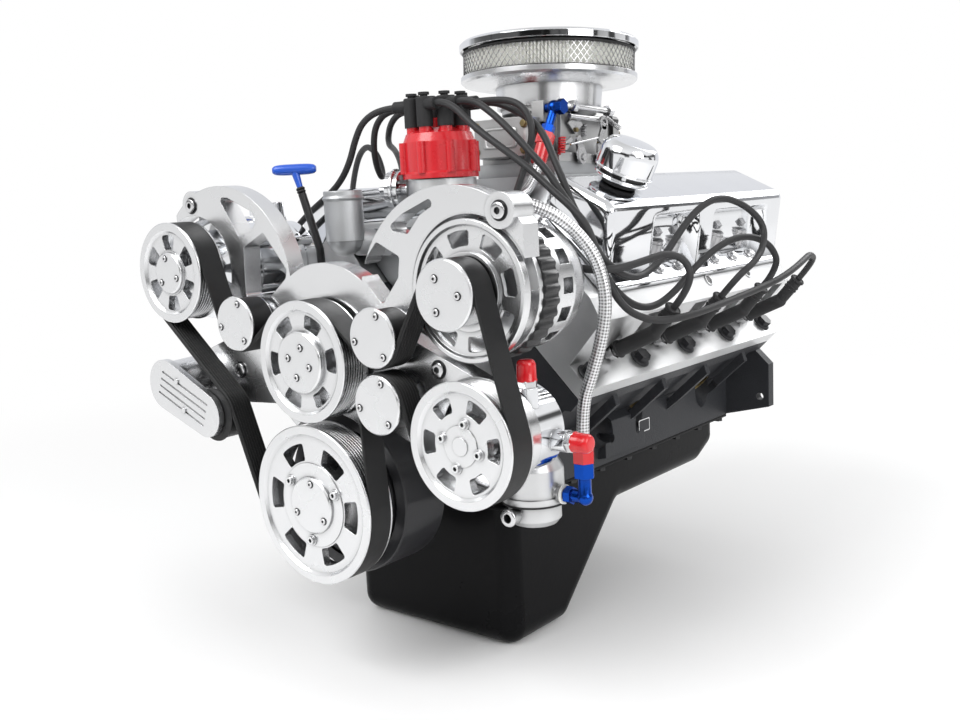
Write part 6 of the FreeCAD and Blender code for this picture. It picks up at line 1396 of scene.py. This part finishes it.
class ENGINE_OT_head_fittings(bpy.types.Operator):
    """Build the bands of the plug boots, the flanges of the head bolts, and the rims of the oil holes of the
    heads with dark discs in them as painted shade.
    """

    bl_idname = "engine.head_fittings"
    bl_label = "Head fittings"

    def execute(self, context):
        bands = []
        flanges = []
        rims = []
        painted_hole_shade = []
        foot_band = rounded_section(0.0084, 0.0106, 0, 0.0034)
        flange = [(0.0056, 0.0), (0.0125, 0.0), (0.0125, 0.0014), (0.0100, 0.0030), (0.0056, 0.0030)]
        rim = [(0.0052, 0), (0.0078, 0), (0.0074, 0.0012), (0.0056, 0.0012)]
        # A dark disc in each oil hole: painted shade inside the hole.
        hole_shade_disc = turned_piece(flat_section(0, 0.0053, -0.001, 0.0004), 32)
        for side in (1, -1):
            up = bank_point(side, 1, 0, 0)
            out = unit((side * 0.873, 0, 0.488))
            sleeve = unit(plug_line(side, 0, 1) - plug_line(side, 0, 0))
            for k in range(4):
                for band in mouth_bands:
                    bands.append(ring(rounded_section(*band), boot_mouth(side, k), boot_axis(side), 32))
                bands.append(ring(foot_band, plug_line(side, bore_y(side, k), 0.0245), sleeve, 32))
            for k in range(5):
                flanges.append(ring(flange, bank_point(side, 0.228, 0.060, bore_y(side, k - 0.5)), up, 40))
            for y in (-0.231, -0.122):
                place = np.array((side * 0.2253, y + (side - 1) * 0.011, 0.199))
                rims.append(ring(rim, place, out, 32))
                painted_hole_shade.append(stood(hole_shade_disc, place, out))
        finished("boot_bands", bands, "rubber", "engine")
        finished("head_bolt_flanges", flanges, "black_oxide", "engine")
        finished("head_hole_rims", rims, "head_cast", "engine")
        # Painted shade: black discs over the oil holes.
        finished("head_hole_painted_shade", painted_hole_shade, "lacquer", "engine")
        return {"FINISHED"}


class ENGINE_OT_carburettor(bpy.types.Operator):
    """Build the fuel bridge, the linkage, the springs and the screws of the carburettor."""

    bl_idname = "engine.carburettor"
    bl_label = "Carburettor"

    def execute(self, context):
        self.bridge()
        self.linkage()
        self.bowls()
        self.choke()
        return {"FINISHED"}

    def build(self, name, parts, finish, **options):
        leant = [(tilted(points), faces) for points, faces in parts]
        return finished(name, leant, finish, "engine", **options)

    def bar(self, corners, radius):
        """A round bar along a few corners, each rounded."""
        return swept(rounded_line(corners, [0.006] * (len(corners) - 2), 7), radius)

    def bridge(self):
        """Fuel pipe from the inlet to the rear bowl, a cross shaft below it and their nuts."""
        corners = [(0.058, -0.303, 0.421), (0.068, -0.296, 0.421), (0.068, -0.196, 0.421),
                   (0.046, -0.172, 0.416)]
        pipe = self.bar(corners, 0.0042)
        shaft = self.bar([(0.069, -0.298, 0.408), (0.069, -0.2, 0.409)], 0.0034)
        nuts = [stood(hex_head(0.0135, 0.010), (0.068, y, 0.421), (0, 1, 0)) for y in (-0.292, -0.209)]
        cap = self.bar([(0.069, -0.204, 0.409), (0.069, -0.190, 0.409)], 0.0058)
        self.build("carb_fuel_pipe", [pipe, shaft], "bright_steel")
        self.build("carb_nuts", nuts, "bright_steel", flat=True)
        self.build("carb_shaft_cap", [cap], "black_plastic")

    def linkage(self):
        """Ring lever, diamond plate, pump lever, return springs and vacuum stubs on the driver's side."""
        lever = [(-0.318, 0.3655), (-0.300, 0.3655), (-0.286, 0.378), (-0.290, 0.383), (-0.306, 0.373)]
        plates = [
            ring(flat_section(0.0048, 0.0088, 0, 0.003), (0.0725, -0.226, 0.404), (1, 0, 0), 32),
            self.plate([(-0.272, 0.388), (-0.254, 0.401), (-0.270, 0.414), (-0.288, 0.401)], 0.0565, 0.0605),
            self.plate([(-0.240, 0.381), (-0.232, 0.376), (-0.219, 0.402), (-0.229, 0.404)], 0.0725, 0.0755),
            self.plate(lever, 0.0635, 0.0665),
        ]
        rods = [
            self.bar([(0.0735, -0.302, 0.372), (0.0735, -0.238, 0.384)], 0.0016),
            self.bar([(0.0735, -0.238, 0.384), (0.0735, -0.196, 0.376), (0.0735, -0.170, 0.386)], 0.0014),
        ]
        rods += [self.bar([(0.054, -0.250, z), (0.062, -0.250, z)], 0.0022) for z in (0.388, 0.394, 0.400)]
        screws = []
        for place in ((0.0605, -0.271, 0.393), (0.0605, -0.271, 0.409), (0.0665, -0.228, 0.378),
                      (0.0665, -0.309, 0.369)):
            screws.append(stood(hex_head(0.0056, 0.003), place, (1, 0, 0)))
        self.build("carb_levers", plates, "bright_steel", sharp=30)
        self.build("carb_rods", rods, "bright_steel")
        self.build("carb_screws", screws, "brass", flat=True)
        red = coil((0.069, -0.316, 0.360), (0.069, -0.314, 0.381), 0.0042, 0.0011, 7)
        bright = coil((0.0735, -0.222, 0.412), (0.070, -0.180, 0.400), 0.0028, 0.0006, 14)
        self.build("carb_red_spring", [red], "cap_red")
        self.build("carb_spring", [bright], "bright_steel")

    def plate(self, outline, near, far):
        """A flat plate across X, from its outline of (y, z)."""
        count = len(outline)
        points = [(x, y, z) for x in (near, far) for y, z in outline]
        faces = [[k, (k + 1) % count, (k + 1) % count + count, k + count] for k in range(count)]
        return points, faces + end_rings(2, count)

    def bowls(self):
        """Screws at the bowls' corners, raised covers on their faces, sight plugs and gaskets."""
        screws = []
        covers = []
        gaskets = []
        for way, face in ((-1, -0.3525), (1, -0.1365)):
            for x in (-0.038, 0.038):
                for z in (0.3655, 0.3975):
                    screws.append(stood(hex_head(0.008, 0.0035, 0.0056), (x, face, z), (0, way, 0)))
            covers.append(self.raised_cover(face, way))
            joint = face - way * 0.030
            thick = sorted((joint, joint + way * 0.0016))
            gaskets.append(self.slab((-0.0508, 0.0508), thick, (0.3615, 0.4085)))
            screws.append(stood(hex_head(0.011, 0.004, 0.007), (0.046, face - way * 0.012, 0.386), (1, 0, 0)))
        self.build("carb_bowl_screws", screws, "brass", flat=True)
        self.build("carb_bowl_covers", covers, "carb_cast", sharp=30)
        self.build("carb_gaskets", gaskets, "lacquer", flat=True)

    def raised_cover(self, face, way):
        """A rounded rectangle that rises from the bowl by a chamfer."""
        outline = round_rectangle(0.027, 0.013, 0.005)
        rows = []
        for share, lift in ((0.0, -0.0005), (1.0, -0.0005), (1.0, 0.001), (0.94, 0.0022), (0.80, 0.0022),
                            (0.77, 0.001), (0.0, 0.001)):
            x, z = (outline * share).T
            rows.append(np.stack([x, np.full(len(x), face + way * lift), 0.3815 + z], axis=1))
        return surface(np.stack(rows))

    def slab(self, x, y, z):
        points = [(a, b, c) for a in x for b in y for c in z]
        return points, [(0, 1, 3, 2), (4, 6, 7, 5), (0, 4, 5, 1), (2, 3, 7, 6), (0, 2, 6, 4), (1, 5, 7, 3)]

    def choke(self):
        """Round choke housing on the passenger's side, with a bright ring and a black cap."""
        place = (-0.056, -0.262, 0.395)
        way = (-1, 0, 0)
        base = stood(turned_piece(flat_section(0, 0.021, -0.002, 0.010), 48), place, way)
        bright = ring(flat_section(0.0165, 0.0225, 0.010, 0.0125), place, way)
        section = [(0, 0.010), (0.0162, 0.010), (0.0162, 0.019), (0.013, 0.0215), (0, 0.0225)]
        cap = stood(turned_piece(section, 48), place, way)
        self.build("choke_housing", [base, bright], "carb_cast")
        self.build("choke_cap", [cap], "black_plastic")


floor_reach = 8.0
studio_centre = Vector((0.0, -0.35, 0.12))
camera_place = (0.8501, -1.4466, 0.3210)
camera_azimuth = math.radians(39.42)
camera_elevation = math.radians(8.86)
camera_roll = math.radians(-2.87)
camera_lens = 40.29


class ENGINE_OT_studio(bpy.types.Operator):
    """Set up the floor, the lamps, the world and the camera."""

    bl_idname = "engine.studio"
    bl_label = "Studio"

    def execute(self, context):
        scene = context.scene
        light = scene.studio_light
        self.floor()
        self.world(light.world)
        self.lamp("key_lamp", (-0.5, -2.6, 2.3), light.key, 1.8)
        self.lamp("fill_lamp", (2.7, -0.9, 1.3), light.fill, 1.6)
        self.lamp("back_lamp", (0.6, 2.4, 1.9), light.back, 1.6)
        self.camera(scene)
        scene.view_settings.view_transform = "Standard"
        return {"FINISHED"}

    def floor(self):
        """A wide flat floor under the lowest point of the engine, which fades to white far from it."""
        height = cad_box[0][2]
        corners = ((-1, -1), (1, -1), (1, 1), (-1, 1))
        mesh = bpy.data.meshes.new("floor")
        mesh.from_pydata([(x * floor_reach, y * floor_reach, height) for x, y in corners], [], [(0, 1, 2, 3)])
        floor = bpy.data.objects.new("floor", mesh)
        bpy.context.scene.collection.objects.link(floor)
        material, tree, shader, place = start_material("pale_floor")
        shader.inputs["Base Color"].default_value = (0.93, 0.93, 0.93, 1)
        shader.inputs["Roughness"].default_value = 0.7
        off = linked(tree, "ShaderNodeVectorMath", {0: place, 1: (0.0, -0.3, height)}, operation="DISTANCE")
        far = ranged(tree, off.outputs["Value"], 0.7, 2.0, kind="SMOOTHSTEP")
        rays = tree.nodes.new("ShaderNodeLightPath")
        seen = math_node(tree, "MAXIMUM", rays.outputs["Is Camera Ray"], rays.outputs["Is Glossy Ray"])
        seen = math_node(tree, "MAXIMUM", seen, rays.outputs["Is Transmission Ray"])
        share = math_node(tree, "MULTIPLY", seen, far)
        white = linked(tree, "ShaderNodeEmission", {"Color": (1, 1, 1, 1), "Strength": 1.0})
        mix = linked(tree, "ShaderNodeMixShader", {0: share, 1: shader.outputs[0], 2: white.outputs[0]})
        tree.links.new(mix.outputs[0], tree.nodes["Material Output"].inputs["Surface"])
        mesh.materials.append(material)

    def lamp(self, name, place, power, size):
        data = bpy.data.lights.new(name, "AREA")
        data.energy = power
        data.size = size
        lamp = bpy.data.objects.new(name, data)
        lamp.location = place
        lamp.rotation_euler = (studio_centre - Vector(place)).to_track_quat("-Z", "Y").to_euler()
        bpy.context.scene.collection.objects.link(lamp)

    def world(self, strength):
        """White to the camera, a plain light, and in the metal a studio of bands, flags and a pale back."""
        world = bpy.data.worlds.new("studio")
        bpy.context.scene.world = world
        world.use_nodes = True
        tree = world.node_tree
        tree.nodes.clear()
        place = tree.nodes.new("ShaderNodeTexCoord").outputs["Generated"]
        height = linked(tree, "ShaderNodeSeparateXYZ", {0: place}).outputs["Z"]
        climb = math_node(tree, "ADD", math_node(tree, "MULTIPLY", height, 0.5), 0.5)
        ramp = linked(tree, "ShaderNodeValToRGB", {"Fac": climb})
        stops = [(0.0, 0.9), (0.5, 0.95), (0.56, 0.9), (0.60, 0.1), (0.64, 0.08), (0.67, 0.95), (0.80, 1.0),
                 (1.0, 0.7)]
        elements = ramp.color_ramp.elements
        while len(elements) < len(stops):
            elements.new(0.5)
        for element, (position, level) in zip(elements, stops):
            element.position = position
            element.color = (level, level, level, 1)
        flags = ranged(tree, noise(tree, place, 2.6, 1.5, 0.35), 0.545, 0.575, 1.0, 0.1)
        open_sky = math_node(tree, "MAXIMUM", flags, ranged(tree, height, 0.3, 0.45))
        bands = colour_mix(tree, open_sky, (0, 0, 0, 1), ramp.outputs["Color"])
        across = linked(tree, "ShaderNodeVectorMath", {0: place, 1: (-0.63, 0.76, 0.0)},
                        operation="DOT_PRODUCT")
        behind = ranged(tree, across.outputs["Value"], 0.35, 0.6)
        mirrored = colour_mix(tree, behind, bands, (0.82, 0.83, 0.86, 1))
        rays = tree.nodes.new("ShaderNodeLightPath")
        plain, metal, seen = [
            linked(tree, "ShaderNodeBackground", {"Color": colour, "Strength": level}).outputs[0]
            for colour, level in (((1, 1, 1, 1), strength), (mirrored, 1.0), ((1, 1, 1, 1), 1.0))
        ]
        gloss = linked(tree, "ShaderNodeMixShader", {0: rays.outputs["Is Glossy Ray"], 1: plain, 2: metal})
        final = linked(tree, "ShaderNodeMixShader",
                       {0: rays.outputs["Is Camera Ray"], 1: gloss.outputs[0], 2: seen})
        output = tree.nodes.new("ShaderNodeOutputWorld")
        tree.links.new(final.outputs[0], output.inputs["Surface"])

    def camera(self, scene):
        """The photograph's viewpoint: back points behind the camera, and roll turns it about that axis."""
        across = math.cos(camera_elevation)
        back = Vector((math.sin(camera_azimuth) * across, -math.cos(camera_azimuth) * across,
                       math.sin(camera_elevation)))
        level = Vector((math.cos(camera_azimuth), math.sin(camera_azimuth), 0))
        upright = back.cross(level)
        right = level * math.cos(camera_roll) + upright * math.sin(camera_roll)
        up = upright * math.cos(camera_roll) - level * math.sin(camera_roll)
        data = bpy.data.cameras.new("camera")
        data.sensor_width = 36.0
        data.sensor_fit = "HORIZONTAL"
        data.lens = camera_lens
        data.clip_end = 100.0
        camera = bpy.data.objects.new("camera", data)
        rows = [(*axes, place) for *axes, place in zip(right, up, back, camera_place)]
        camera.matrix_world = Matrix((*rows, (0, 0, 0, 1)))
        scene.collection.objects.link(camera)
        scene.camera = camera


class ENGINE_PT_panel(bpy.types.Panel):
    """Lists the steps that dress the engine."""

    bl_label = "V8 engine"
    bl_idname = "ENGINE_PT_panel"
    bl_space_type = "VIEW_3D"
    bl_region_type = "UI"
    bl_category = "Engine"

    def draw(self, context):
        for operator in operators:
            self.layout.operator(operator.bl_idname)


settings = (
    ("engine_sizes", EngineSizes),
    ("engine_colours", EngineColours),
    ("studio_light", StudioLight),
)
operators = (
    ENGINE_OT_finishes,
    ENGINE_OT_plug_leads,
    ENGINE_OT_fuel_hose,
    ENGINE_OT_air_filter,
    ENGINE_OT_valve_covers,
    ENGINE_OT_breather,
    ENGINE_OT_fittings,
    ENGINE_OT_dipstick,
    ENGINE_OT_screws,
    ENGINE_OT_belt_drive,
    ENGINE_OT_head_fittings,
    ENGINE_OT_carburettor,
    ENGINE_OT_studio,
)


def register():
    for name, group in settings:
        bpy.utils.register_class(group)
        setattr(bpy.types.Scene, name, bpy.props.PointerProperty(type=group))
    for operator in operators:
        bpy.utils.register_class(operator)
    bpy.utils.register_class(ENGINE_PT_panel)


def unregister():
    bpy.utils.unregister_class(ENGINE_PT_panel)
    for operator in reversed(operators):
        bpy.utils.unregister_class(operator)
    for name, group in reversed(settings):
        delattr(bpy.types.Scene, name)
        bpy.utils.unregister_class(group)


def main():
    register()
    for operator in operators:
        group, name = operator.bl_idname.split(".")
        getattr(getattr(bpy.ops, group), name)()


if __name__ == "__main__":
    main()
